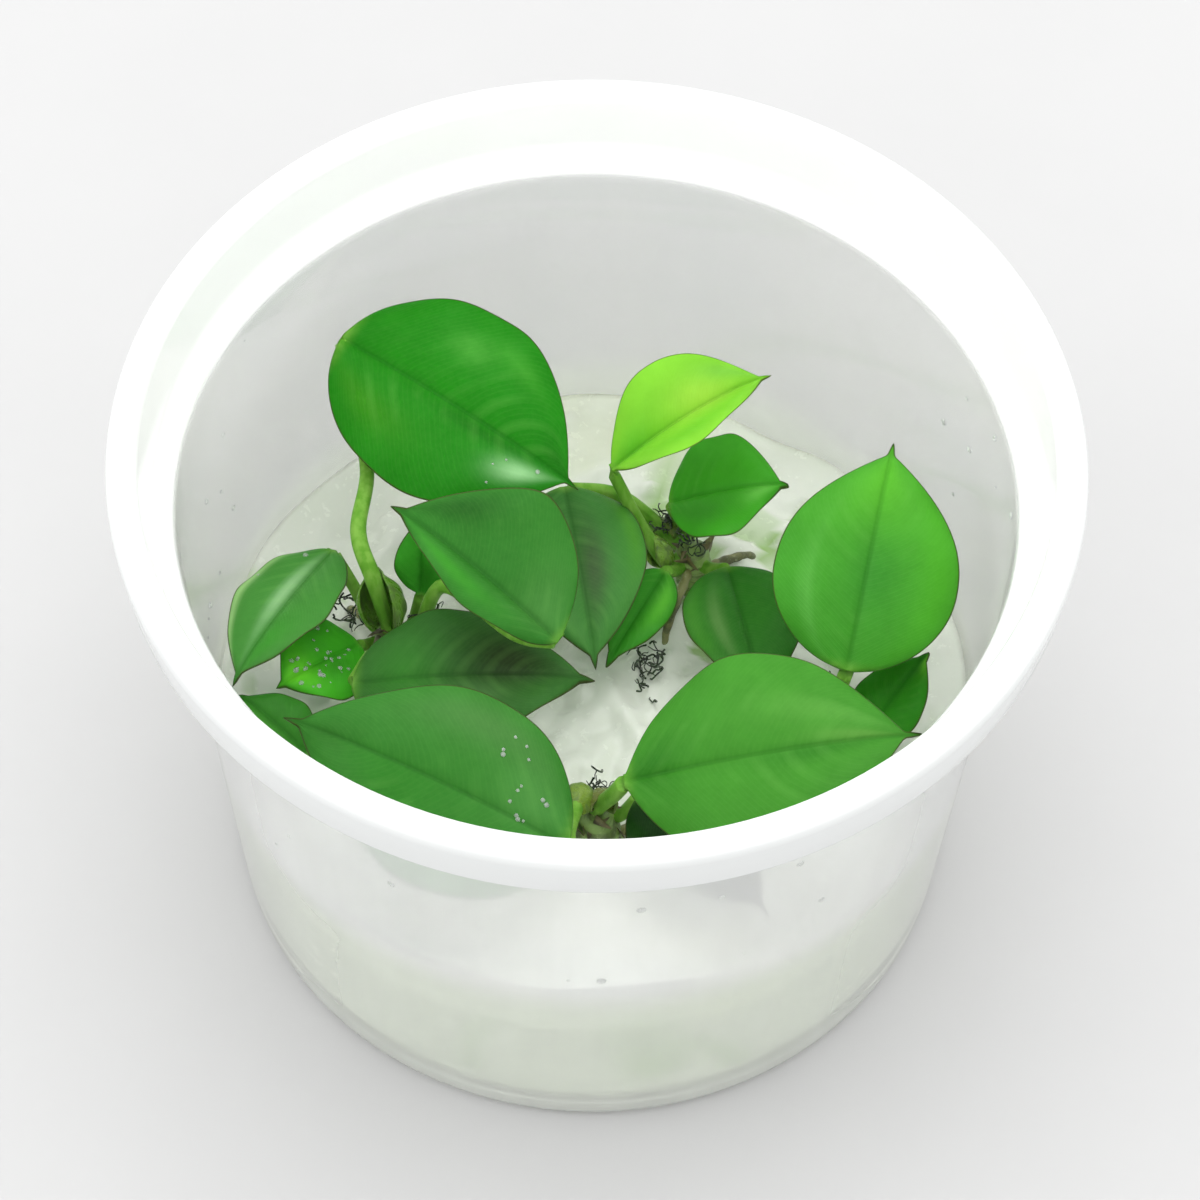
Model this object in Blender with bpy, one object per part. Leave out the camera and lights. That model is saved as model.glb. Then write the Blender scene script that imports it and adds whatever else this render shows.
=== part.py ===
"""Anubias plantlets in a culture cup.

Four small plantlets stand in pale nutrient gel inside a thin-walled translucent cup with a
stepped rim. The origin is the middle of the cup's foot, +Z is up, and -Y is the front.
Lengths in the tables below are millimetres; MM turns them into Blender's metres.
"""

import math

import bpy
import bmesh
from mathutils import Matrix, Vector

MM = 0.001

# ---- driving dimensions, mm -------------------------------------------------
CUP_HEIGHT = 71.0
RIM_RADIUS = 50.0          # outer edge of the flat rim
RIM_LAND = 3.0             # width of the flat rim, the lid seat
SKIRT_DEPTH = 5.9          # how far the rim turns down outside
SEAT_DEPTH = 8.6           # depth of the step inside the rim
WALL = 0.8                 # wall thickness of the body
BODY_TOP_RADIUS = 44.5     # outer radius just under the step
BODY_FOOT_RADIUS = 41.3    # outer radius just above the foot
FOOT_RING = (37.3, 39.3)   # inner and outer radius of the ring the cup stands on
FOOT_RECESS = 0.9          # how far the floor is raised inside that ring
FLOOR_TOP = 1.9            # height of the floor's upper face
INNER_CORNER = 1.8         # radius of the corner between wall and floor, inside
CUP_SEGMENTS = 48

GAP = 0.3                  # clearance between touching pieces

GEL_LEVEL = 27.0           # mean height of the gel
GEL_TILT = 0.085           # the gel stands higher at the front by this slope
GEL_SEGMENTS = 36

BLADE_THICKNESS = 0.5
RING_POINTS = 8            # points round each cross-section of a leaf
STALK_LIFT = 1.4           # a stalk on a rhizome's head starts this far above it
STALK_DROP = 1.6           # a stalk beside the head starts this far below its top
STALK_CLEARANCE = 0.25     # a stalk beside the head stays this far off its skin
MIN_HALF_WIDTH = 0.12      # a blade's tip is never narrower than this
NECK_SHARE = 0.12          # the stalk's thickness fades into the blade over this share of it
ROOT_RADIUS = 0.55
ROOT_SKIN = 1.12           # roots start this many rhizome radii from its middle line

BLADE_STATIONS = (0.0, 0.02, 0.07, 0.16, 0.29, 0.43, 0.58, 0.73, 0.86, 0.95, 1.0)

# ---- the plantlets' short rhizomes: path points (x, y, z) and radii, mm ------
RHIZOMES = {
    "rhizome_left": [((-21.5, 0.0, 23.0), 1.5), ((-22.4, 1.6, 28.0), 2.2), ((-22.7, 2.2, 32.5), 1.8)],
    "rhizome_back": [((12.6, 12.0, 22.0), 1.5), ((11.4, 13.6, 27.5), 2.2), ((10.8, 14.4, 32.5), 1.8)],
    "rhizome_front": [((6.5, -33.5, 12.0), 2.0), ((4.5, -29.0, 19.0), 2.8), ((1.8, -23.5, 27.0), 2.8),
                      ((0.3, -20.5, 33.0), 2.0)],
    "rhizome_right": [((20.8, -8.0, 22.0), 1.5), ((21.7, -6.6, 27.0), 2.1), ((22.0, -6.0, 32.0), 1.7)],
}

# ---- leaves -----------------------------------------------------------------
# Each leaf is a stalk that carries one blade. base and tip are the ends of the blade's midrib,
# roll lifts the left half (seen from base to tip), arch bows the midrib up, fold closes the two
# halves like a book, lean makes the left half wider, widest is the place of the greatest width
# and taper (0.5 round to 1 pointed) and tip_power (high is fuller) shape the base and the tip.
# The stalk leaves the rhizome's head at the offset top, or beside it: on the bearing side, in
# degrees, or else towards the blade. via are points on the stalk and stalk lists its radii.
LEAVES = {
    "leaf_tall_left": dict(on="rhizome_left", base=(-28.5, 26.0, 54.0), tip=(-2.0, 11.0, 47.5),
                           width=23.0, roll=14, arch=0.05, fold=4, widest=0.47, tip_power=2.3,
                           top=(-0.3, 0.1),
                           via=[(-24.2, 2.6, 41.5), (-25.9, 6.4, 45.0), (-25.2, 13.0, 47.6), (-27.2, 21.0, 51.0)],
                           stalk=(1.9, 2.2, 0.9, 0.8, 0.8, 0.8)),
    "leaf_young": dict(on="rhizome_back", base=(1.6, 15.5, 45.0), tip=(18.8, 24.0, 52.0),
                       width=15.0, roll=4, widest=0.52, arch=0.08, fold=40, taper=0.85, tip_power=1.8,
                       side=205, via=[(5.0, 14.6, 36.0)], stalk=(0.9, 0.8, 0.7)),
    "leaf_small_back": dict(on="rhizome_back", base=(8.2, 17.0, 37.0), tip=(21.2, 16.8, 41.5),
                            width=14.0, roll=4, side=100, arch=0.05, fold=14, widest=0.47, tip_power=2.3,
                            via=[], stalk=(0.8, 0.7)),
    "leaf_right": dict(on="rhizome_right", base=(27.2, -8.4, 42.0), tip=(31.8, 12.5, 55.0),
                       width=20.0, roll=0, arch=0.04, fold=5, tip_power=2.2,
                       side=15, via=[(26.4, -7.6, 36.0)], stalk=(0.9, 0.85, 0.8)),
    "leaf_front_right": dict(on="rhizome_front", base=(3.6, -23.0, 42.0), tip=(33.9, -22.1, 51.5),
                             width=23.0, roll=10, arch=0.05, fold=5, widest=0.47, taper=0.8,
                             top=(0.8, -0.7), via=[(2.4, -22.6, 38.8)], stalk=(0.9, 0.9, 0.9)),
    "leaf_front_left": dict(on="rhizome_front", base=(-2.2, -31.0, 42.0), tip=(-31.8, -20.8, 50.0),
                            width=22.0, roll=-10, arch=0.06, fold=4,
                            top=(-1.2, 0.5), via=[(-2.2, -26.5, 38.5)], stalk=(0.9, 0.9, 0.9)),
    "leaf_middle_dark": dict(on="rhizome_left", base=(-26.0, -8.6, 37.5), tip=(0.2, -8.8, 40.0),
                             width=16.5, roll=5, arch=0.06, fold=4,
                             side=262, via=[(-24.2, -3.4, 35.6)], stalk=(0.9, 0.8, 0.8)),
    "leaf_centre": dict(on="rhizome_left", base=(-3.8, -8.5, 46.5), tip=(-21.6, 2.1, 56.0),
                        width=15.8, roll=-5, arch=0.05, fold=18, widest=0.48, taper=0.65, lean=-0.4,
                        tip_power=1.7, via=[(-16.5, 1.4, 42.2), (-8.5, -6.5, 45.0)],
                        stalk=(0.9, 0.8, 0.8, 0.8)),
    "leaf_behind_centre": dict(on="rhizome_back", base=(-3.7, 17.6, 38.5), tip=(0.3, -6.0, 38.0),
                               width=15.6, roll=0, arch=0.06, fold=4,
                               side=135, via=[(2.6, 18.6, 36.0)], stalk=(0.9, 0.8, 0.8)),
    "leaf_under_centre": dict(on="rhizome_back", base=(7.8, 10.0, 33.5), tip=(1.5, -3.0, 34.0),
                              width=7.0, roll=-8, arch=0.04, fold=12, via=[], stalk=(0.7, 0.7)),
    "leaf_under_right": dict(on="rhizome_back", base=(14.8, 10.5, 33.6), tip=(18.8, -9.0, 35.5),
                             width=13.5, roll=0, arch=0.05, fold=10, via=[], stalk=(0.8, 0.7)),
    "leaf_left_wall": dict(on="rhizome_left", base=(-29.2, 8.6, 38.0), tip=(-38.6, -11.0, 41.0),
                           width=11.5, roll=10, arch=0.05, fold=10, widest=0.48, taper=0.6,
                           via=[(-26.6, 5.6, 35.0)], stalk=(0.8, 0.7, 0.7)),
    "leaf_small_left": dict(on="rhizome_left", base=(-26.0, -0.4, 33.0), tip=(-34.2, -8.0, 36.0),
                            width=11.0, roll=-12, side=205, arch=0.05, fold=8, widest=0.47, tip_power=2.2,
                            via=[], stalk=(0.7, 0.6)),
    "leaf_low_front": dict(on="rhizome_front", base=(5.2, -20.6, 35.4), tip=(18.6, -35.2, 37.5),
                           width=13.0, roll=0, arch=0.05, fold=6, taper=0.7, via=[], stalk=(0.8, 0.7)),
    "leaf_low_right": dict(on="rhizome_right", base=(29.2, -12.6, 34.0), tip=(36.5, -3.3, 38.5),
                           width=8.0, roll=0, arch=0.05, fold=6,
                           side=-65, via=[(26.5, -11.0, 32.8)], stalk=(0.7, 0.65, 0.6)),
    "leaf_low_left": dict(on="rhizome_front", base=(-30.5, -15.5, 34.0), tip=(-38.3, -9.8, 37.0),
                          width=8.0, roll=0, arch=0.05, fold=6,
                          via=[(-9.0, -24.5, 33.0), (-21.0, -24.4, 32.6)], stalk=(0.8, 0.7, 0.7, 0.6)),
    "leaf_bud_left": dict(on="rhizome_left", base=(-19.2, 4.6, 36.0), tip=(-18.8, 9.6, 45.0),
                          width=6.5, roll=0, arch=0.05, fold=24, taper=0.8, via=[], stalk=(0.8, 0.7)),
}

# ---- roots: the rhizome, the height where the root leaves it, and points down into the gel, mm
ROOTS = {
    "root_left_1": ("rhizome_left", 30.0, [(-16.0, 4.4, 28.4), (-13.4, 5.8, 22.0), (-12.6, 7.6, 14.0)]),
    "root_left_2": ("rhizome_left", 28.0, [(-26.6, -4.6, 25.6), (-28.2, -6.0, 19.0), (-28.6, -5.2, 13.0)]),
    "root_left_3": ("rhizome_left", 29.0, [(-27.4, 8.2, 27.2), (-29.4, 10.4, 21.0), (-29.0, 12.6, 15.0)]),
    "root_back_1": ("rhizome_back", 29.0, [(6.4, 20.2, 27.0), (5.0, 23.0, 20.0), (5.6, 25.2, 12.0)]),
    "root_back_2": ("rhizome_back", 28.0, [(17.8, 17.4, 26.4), (20.0, 19.0, 19.0), (19.6, 20.6, 13.0)]),
    "root_back_3": ("rhizome_back", 30.0, [(8.2, 5.6, 28.6), (7.2, 1.6, 23.0), (6.6, 0.4, 14.0)]),
    "root_front_1": ("rhizome_front", 28.5, [(8.6, -16.6, 26.6), (11.0, -15.2, 20.0), (12.2, -14.4, 12.0)]),
    "root_front_2": ("rhizome_front", 26.0, [(-6.4, -26.4, 22.0), (-9.0, -29.0, 16.0), (-10.0, -30.4, 8.0)]),
    "root_front_3": ("rhizome_front", 17.0, [(12.0, -32.6, 13.0), (14.6, -32.2, 7.5)]),
    "root_right_1": ("rhizome_right", 27.6, [(27.6, -2.6, 25.4), (29.6, -1.0, 19.0), (29.8, 1.4, 12.0)]),
}

COLOURS = {
    "cup": ((0.88, 0.89, 0.87), 0.35),
    "gel": ((0.80, 0.86, 0.74), 0.12),
    "rhizome": ((0.30, 0.33, 0.10), 0.55),
    "root": ((0.34, 0.30, 0.16), 0.60),
    "leaf": ((0.06, 0.27, 0.05), 0.30),
    "leaf_young": ((0.24, 0.62, 0.04), 0.30),
}


# ---- small helpers ----------------------------------------------------------
def clear_scene():
    for item in list(bpy.data.objects):
        bpy.data.objects.remove(item, do_unlink=True)


def material(slot):
    """The Principled material of one kind of piece, made once."""
    found = bpy.data.materials.get(slot)
    if found:
        return found
    colour, roughness = COLOURS[slot]
    made = bpy.data.materials.new(slot)
    made.use_nodes = True
    shader = made.node_tree.nodes["Principled BSDF"]
    shader.inputs["Base Color"].default_value = (*colour, 1.0)
    shader.inputs["Roughness"].default_value = roughness
    shader.inputs["Metallic"].default_value = 0.0
    return made


def add_object(name, bm, slot):
    """Turn a bmesh drawn in millimetres into a named object in metres."""
    bmesh.ops.recalc_face_normals(bm, faces=bm.faces)
    bmesh.ops.transform(bm, matrix=Matrix.Scale(MM, 4), verts=bm.verts)
    mesh = bpy.data.meshes.new(name)
    bm.to_mesh(mesh)
    bm.free()
    mesh.materials.append(material(slot))
    mesh.shade_smooth()
    mesh.set_sharp_from_angle(angle=math.radians(40))
    made = bpy.data.objects.new(name, mesh)
    bpy.context.scene.collection.objects.link(made)
    return made


def bridge_rings(bm, rings):
    """Skin neighbouring rings of equal length with triangles and fan-close both ends."""
    count = len(rings[0])
    for low, high in zip(rings, rings[1:]):
        for i in range(count):
            j = (i + 1) % count
            bm.faces.new((low[i], low[j], high[j], high[i]))
    for ring in (rings[0], rings[-1]):
        middle = sum((v.co for v in ring), Vector()) / count
        hub = bm.verts.new(middle)
        for i in range(count):
            bm.faces.new((ring[i], ring[(i + 1) % count], hub))


def smooth_path(points, samples):
    """Points along a Catmull-Rom curve through the given points, ends included."""
    pts = [Vector(p) for p in points]
    pts = [pts[0] * 2 - pts[1]] + pts + [pts[-1] * 2 - pts[-2]]
    spans = len(pts) - 3
    path = []
    for k in range(samples + 1):
        place = min(k / samples * spans, spans - 1e-9)
        i = int(place)
        t = place - i
        p0, p1, p2, p3 = pts[i:i + 4]
        path.append(0.5 * (2 * p1 + (p2 - p0) * t + (2 * p0 - 5 * p1 + 4 * p2 - p3) * t * t
                           + (3 * p1 - p0 - 3 * p2 + p3) * t ** 3))
    return path


def stretched(points, before, after):
    """The same points with both ends moved outward along their own directions."""
    pts = [Vector(p) for p in points]
    first = pts[0] + (pts[0] - pts[1]).normalized() * before
    last = pts[-1] + (pts[-1] - pts[-2]).normalized() * after
    return [first, *pts[1:-1], last]


def along(values, fraction):
    """Read a list of evenly spread values at a fraction of its length."""
    place = fraction * (len(values) - 1)
    i = min(int(place), len(values) - 2)
    return values[i] + (values[i + 1] - values[i]) * (place - i)


def tangents(path):
    last = len(path) - 1
    return [(path[min(i + 1, last)] - path[max(i - 1, 0)]).normalized() for i in range(last + 1)]


def tube(name, path, radii, slot, sides, extra=0.0):
    """A closed round tube along a path, with its radius read from a list."""
    bm = bmesh.new()
    rings = []
    side = Vector((1.0, 0.0, 0.0))
    for i, (centre, ahead) in enumerate(zip(path, tangents(path))):
        side = (side - ahead * side.dot(ahead)).normalized()
        other = ahead.cross(side)
        radius = along(radii, i / (len(path) - 1)) + extra
        rings.append([bm.verts.new(centre + (side * math.cos(a) + other * math.sin(a)) * radius)
                      for a in (math.tau * k / sides for k in range(sides))])
    bridge_rings(bm, rings)
    return add_object(name, bm, slot)


def rhizome_at(name, height):
    """Centre and radius of a rhizome where it passes a height."""
    path = RHIZOMES[name]
    for (low, r_low), (high, r_high) in zip(path, path[1:]):
        if height <= high[2]:
            break
    share = (height - low[2]) / (high[2] - low[2])
    return Vector(low).lerp(Vector(high), share), r_low + (r_high - r_low) * share


def root_points(rhizome, height, via):
    """A root's points, from just outside its rhizome's skin."""
    centre, radius = rhizome_at(rhizome, height)
    way = Vector((via[0][0] - centre.x, via[0][1] - centre.y, 0.0)).normalized()
    return [centre + way * (radius * ROOT_SKIN + ROOT_RADIUS + GAP), *via]


# ---- the cup ----------------------------------------------------------------
def wall_radius(z):
    """Inner radius of the cup's body at height z."""
    step = CUP_HEIGHT - SEAT_DEPTH
    top, foot = BODY_TOP_RADIUS - WALL, BODY_FOOT_RADIUS - WALL
    return foot + (top - foot) * (z - FLOOR_TOP) / (step - FLOOR_TOP)


def cup_profile():
    """(radius, height) from the middle of the underside, up outside, and down inside."""
    ring_in, ring_out = FOOT_RING
    step = CUP_HEIGHT - SEAT_DEPTH
    land_in = RIM_RADIUS - RIM_LAND
    corner = BODY_FOOT_RADIUS - ring_out
    heel = [(ring_out + corner * math.sin(a), corner * (1 - math.cos(a)))
            for a in (math.radians(d) for d in (0, 35, 65, 90))]
    foot_in = wall_radius(FLOOR_TOP + INNER_CORNER)
    bowl = [(foot_in - INNER_CORNER * (1 - math.cos(a)), FLOOR_TOP + INNER_CORNER * (1 - math.sin(a)))
            for a in (math.radians(d) for d in (0, 45, 90))]
    return [
        (0.0, FOOT_RECESS), (ring_in - 0.8, FOOT_RECESS), (ring_in, 0.0), *heel,
        (BODY_TOP_RADIUS, step - 1.2), (land_in - 0.5, step + 0.6),
        (land_in + 0.9, CUP_HEIGHT - 1.2), (RIM_RADIUS - 1.1, CUP_HEIGHT - 1.2),
        (RIM_RADIUS - 1.3, CUP_HEIGHT - SKIRT_DEPTH), (RIM_RADIUS - 0.4, CUP_HEIGHT - SKIRT_DEPTH),
        (RIM_RADIUS, CUP_HEIGHT - 0.7), (RIM_RADIUS - 0.3, CUP_HEIGHT),
        (land_in, CUP_HEIGHT), (land_in - 0.3, CUP_HEIGHT - 0.4),
        (land_in - 1.2, step + 1.6), (land_in - 1.9, step + 0.3), (BODY_TOP_RADIUS - WALL, step), *bowl,
        (0.0, FLOOR_TOP),
    ]


def build_cup():
    profile = cup_profile()
    bm = bmesh.new()
    rings = []
    for radius, height in profile[1:-1]:
        rings.append([bm.verts.new((radius * math.cos(a), radius * math.sin(a), height))
                      for a in (math.tau * k / CUP_SEGMENTS for k in range(CUP_SEGMENTS))])
    bridge_rings(bm, rings)
    return add_object("cup", bm, "cup")


# ---- the gel ----------------------------------------------------------------
def gel_height(x, y):
    """Height of the gel's uneven top, which climbs a little at the wall."""
    lumps = 0.6 * math.sin(0.21 * x + 0.5) * math.cos(0.17 * y) + 0.4 * math.sin(0.33 * x - 0.27 * y + 1.0)
    edge = max(0.0, (math.hypot(x, y) - 36.0) / 4.0)
    return GEL_LEVEL - GEL_TILT * y + lumps + 0.8 * edge * edge


def build_gel(cutters):
    bm = bmesh.new()
    angles = [math.tau * k / GEL_SEGMENTS for k in range(GEL_SEGMENTS)]
    floor = FLOOR_TOP + GAP
    rings = []
    for radius, height in ((37.0, floor), (wall_radius(4.6) - GAP - 0.2, 4.6)):
        rings.append([bm.verts.new((radius * math.cos(a), radius * math.sin(a), height)) for a in angles])
    for share in (1.0, 0.93, 0.8, 0.62, 0.42, 0.2):
        ring = []
        for a in angles:
            outer = wall_radius(GEL_LEVEL - 6.0) - GAP
            x, y = outer * math.cos(a), outer * math.sin(a)
            outer = wall_radius(gel_height(x, y)) - GAP - 0.15
            x, y = share * outer * math.cos(a), share * outer * math.sin(a)
            ring.append(bm.verts.new((x, y, gel_height(x, y))))
        rings.append(ring)
    bridge_rings(bm, rings)
    gel = add_object("gel", bm, "gel")
    holes = bpy.data.collections.new("gel_holes")
    bpy.context.scene.collection.children.link(holes)
    for cutter in cutters:
        bpy.context.scene.collection.objects.unlink(cutter)
        holes.objects.link(cutter)
        cutter.hide_render = True
        cutter.display_type = "WIRE"
    cut = gel.modifiers.new("plant_holes", "BOOLEAN")
    cut.operation = "DIFFERENCE"
    cut.solver = "EXACT"
    cut.use_self = True
    cut.operand_type = "COLLECTION"
    cut.collection = holes
    return gel


# ---- the leaves -------------------------------------------------------------
def half_width(t, widest, taper, tip_power):
    """Half-width of a blade from base (0) to tip (1), as a share of the greatest."""
    if t < widest:
        return max(0.0, 1 - ((widest - t) / widest) ** 2) ** taper
    return 1 - ((t - widest) / (1 - widest)) ** tip_power


def blade_axes(leaf):
    """Base point, length, and the unit vectors along, left of and above the midrib."""
    base, tip = Vector(leaf["base"]), Vector(leaf["tip"])
    ahead = (tip - base).normalized()
    up = Vector((0, 0, 1))
    above = (up - ahead * up.dot(ahead)).normalized()
    left = above.cross(ahead)
    turn = Matrix.Rotation(math.radians(leaf["roll"]), 3, ahead)
    return base, (tip - base).length, ahead, turn @ left, turn @ above


def stalk_start(leaf):
    """Where a stalk begins: on the rhizome's head, or beside it on the side given in degrees."""
    head, radius = RHIZOMES[leaf["on"]][-1]
    if "top" in leaf:
        return Vector(head) + Vector((*leaf["top"], STALK_LIFT))
    first = leaf["via"][0] if leaf["via"] else leaf["base"]
    facing = math.atan2(first[1] - head[1], first[0] - head[0])
    if "side" in leaf:
        facing = math.radians(leaf["side"])
    reach = radius + STALK_CLEARANCE + leaf["stalk"][0]
    return Vector(head) + Vector((reach * math.cos(facing), reach * math.sin(facing), -STALK_DROP))


def build_leaf(name, leaf):
    base, length, ahead, left, above = blade_axes(leaf)
    stalk = smooth_path([stalk_start(leaf), *leaf["via"], base], 2 + 2 * len(leaf["via"]))
    widths = (leaf.get("widest", 0.42), leaf.get("taper", 0.55), leaf.get("tip_power", 1.9))
    lean, fold = leaf.get("lean", 0.0), math.radians(leaf["fold"])
    neck = leaf["stalk"][-1]
    bm = bmesh.new()
    rings = []
    for i, (centre, way) in enumerate(zip(stalk[:-1], tangents(stalk))):
        side = (left - way * left.dot(way)).normalized()
        over = way.cross(side)
        radius = along(leaf["stalk"], i / (len(stalk) - 1))
        rings.append([bm.verts.new(centre + (side * math.cos(a) - over * math.sin(a)) * radius)
                      for a in (math.tau * k / RING_POINTS for k in range(RING_POINTS))])
    for t in BLADE_STATIONS:
        spread = max(half_width(t, *widths) * leaf["width"] / 2, MIN_HALF_WIDTH if t > 0.5 else neck)
        rise = leaf["arch"] * length * 4 * t * (1 - t)
        thick = BLADE_THICKNESS / 2 + (neck * 0.8 - BLADE_THICKNESS / 2) * max(0.0, 1 - t / NECK_SHARE)
        if t == 1.0:
            thick = BLADE_THICKNESS / 4
        spine = base + ahead * length * t + above * rise
        ring = []
        for k in range(RING_POINTS):
            a = math.tau * k / RING_POINTS
            across = math.cos(a) if t < 0.01 else (1.0, 0.5, 0.0, -0.5, -1.0, -0.5, 0.0, 0.5)[k]
            lift = -math.sin(a) * thick if t < 0.01 else (0, -1, -1, -1, 0, 1, 1, 1)[k] * thick
            reach = across * spread * (1 + lean * (1 if across > 0 else -1))
            ring.append(bm.verts.new(spine + left * reach * math.cos(fold)
                                     + above * (abs(reach) * math.sin(fold) + lift)))
        rings.append(ring)
    bridge_rings(bm, rings)
    return add_object(name, bm, "leaf_young" if name == "leaf_young" else "leaf")


# ---- assembly ---------------------------------------------------------------
def build_all():
    clear_scene()
    build_cup()
    cutters = []
    for name, stations in RHIZOMES.items():
        points, radii = [p for p, _ in stations], [r for _, r in stations]
        path = smooth_path(points, 2 * len(points) - 2)
        tube(name, path, radii, "rhizome", 8)
        cutters.append(tube("hole_" + name, stretched(path, 2 * GAP, 3.0), radii, "gel", 8, GAP + 0.15))
    radii = [ROOT_RADIUS, ROOT_RADIUS, ROOT_RADIUS * 0.8, ROOT_RADIUS * 0.5]
    for name, (rhizome, height, via) in ROOTS.items():
        path = smooth_path(root_points(rhizome, height, via), 2 * len(via))
        tube(name, path, radii, "root", 6)
        cutters.append(tube("hole_" + name, stretched(path, 2.2, 2 * GAP), radii, "gel", 6, GAP + 0.15))
    build_gel(cutters)
    for name, leaf in LEAVES.items():
        build_leaf(name, leaf)


build_all()
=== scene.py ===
"""Anubias plantlets in a culture cup: the finished pieces, built in the packed part's own frame.

Lengths in the tables are millimetres; MM turns them into metres. The origin is the middle of the
cup's foot, +Z is up and -Y is the front.
"""

import math
import random

import bmesh
import bpy
import numpy as np
from bpy.props import FloatProperty, FloatVectorProperty, IntProperty, PointerProperty
from mathutils import Matrix, Vector


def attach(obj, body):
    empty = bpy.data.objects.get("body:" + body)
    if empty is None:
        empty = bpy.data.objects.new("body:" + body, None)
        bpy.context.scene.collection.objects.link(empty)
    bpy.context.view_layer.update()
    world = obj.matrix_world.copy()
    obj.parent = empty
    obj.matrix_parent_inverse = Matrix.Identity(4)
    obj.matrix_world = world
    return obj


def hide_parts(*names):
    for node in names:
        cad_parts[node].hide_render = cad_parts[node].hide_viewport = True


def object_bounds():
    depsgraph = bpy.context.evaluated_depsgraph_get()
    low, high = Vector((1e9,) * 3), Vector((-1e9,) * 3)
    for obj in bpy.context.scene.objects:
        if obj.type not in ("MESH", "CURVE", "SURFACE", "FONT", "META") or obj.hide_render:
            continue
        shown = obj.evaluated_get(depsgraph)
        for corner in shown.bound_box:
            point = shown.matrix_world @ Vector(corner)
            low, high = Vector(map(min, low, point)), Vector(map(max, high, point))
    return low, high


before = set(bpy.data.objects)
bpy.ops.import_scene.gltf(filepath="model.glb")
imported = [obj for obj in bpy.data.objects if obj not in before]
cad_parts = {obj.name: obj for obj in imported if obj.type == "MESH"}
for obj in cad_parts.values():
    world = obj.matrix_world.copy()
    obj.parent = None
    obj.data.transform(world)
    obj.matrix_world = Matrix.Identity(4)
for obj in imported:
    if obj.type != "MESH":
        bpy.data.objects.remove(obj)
CAD_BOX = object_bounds()

bl_info = {
    "name": "Culture cup plantlets",
    "version": (1, 0, 0),
    "blender": (4, 5, 0),
    "location": "3D View > Sidebar > Plantlets",
    "description": "Builds a translucent culture cup with gel and anubias plantlets",
    "category": "Object",
}

MM = 0.001
BODY = "root"

# ---- the cup and the gel, as in the packed part, mm ----------------------------
CUP_HEIGHT = round((CAD_BOX[1].z - CAD_BOX[0].z) / MM, 3)
RIM_RADIUS = round((CAD_BOX[1].x - CAD_BOX[0].x) / MM / 2, 3)
RIM_LAND = 3.0
SKIRT_DEPTH = 5.9
SEAT_DEPTH = 8.6
WALL = 0.8
BODY_TOP_RADIUS = 44.5
BODY_FOOT_RADIUS = 41.3
FOOT_RING = (37.3, 39.3)
FOOT_RECESS = 0.9
FLOOR_TOP = 1.9
STEP_HEIGHT = CUP_HEIGHT - SEAT_DEPTH
GEL_LEVEL = 27.0
GEL_TILT = 0.085
STALK_LIFT = 1.4
STALK_DROP = 1.6
ROOT_RADIUS = 0.55
ROOT_SKIN = 1.12

# ---- the rhizomes: path points (x, y, z) and radii ------------------------------
RHIZOMES = {
    "rhizome_left": [
        ((-21.5, 0.0, 23.0), 1.5), ((-22.4, 1.6, 28.0), 2.2), ((-22.7, 2.2, 32.5), 1.8)],
    "rhizome_back": [
        ((12.6, 12.0, 22.0), 1.5), ((11.4, 13.6, 27.5), 2.2), ((10.8, 14.4, 32.5), 1.8)],
    "rhizome_front": [
        ((6.5, -33.5, 12.0), 2.0), ((4.5, -29.0, 19.0), 2.8), ((1.8, -23.5, 27.0), 2.8),
        ((0.3, -20.5, 33.0), 2.0)],
    "rhizome_right": [
        ((20.8, -8.0, 22.0), 1.5), ((21.7, -6.6, 27.0), 2.1), ((22.0, -6.0, 32.0), 1.7)],
}

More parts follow.
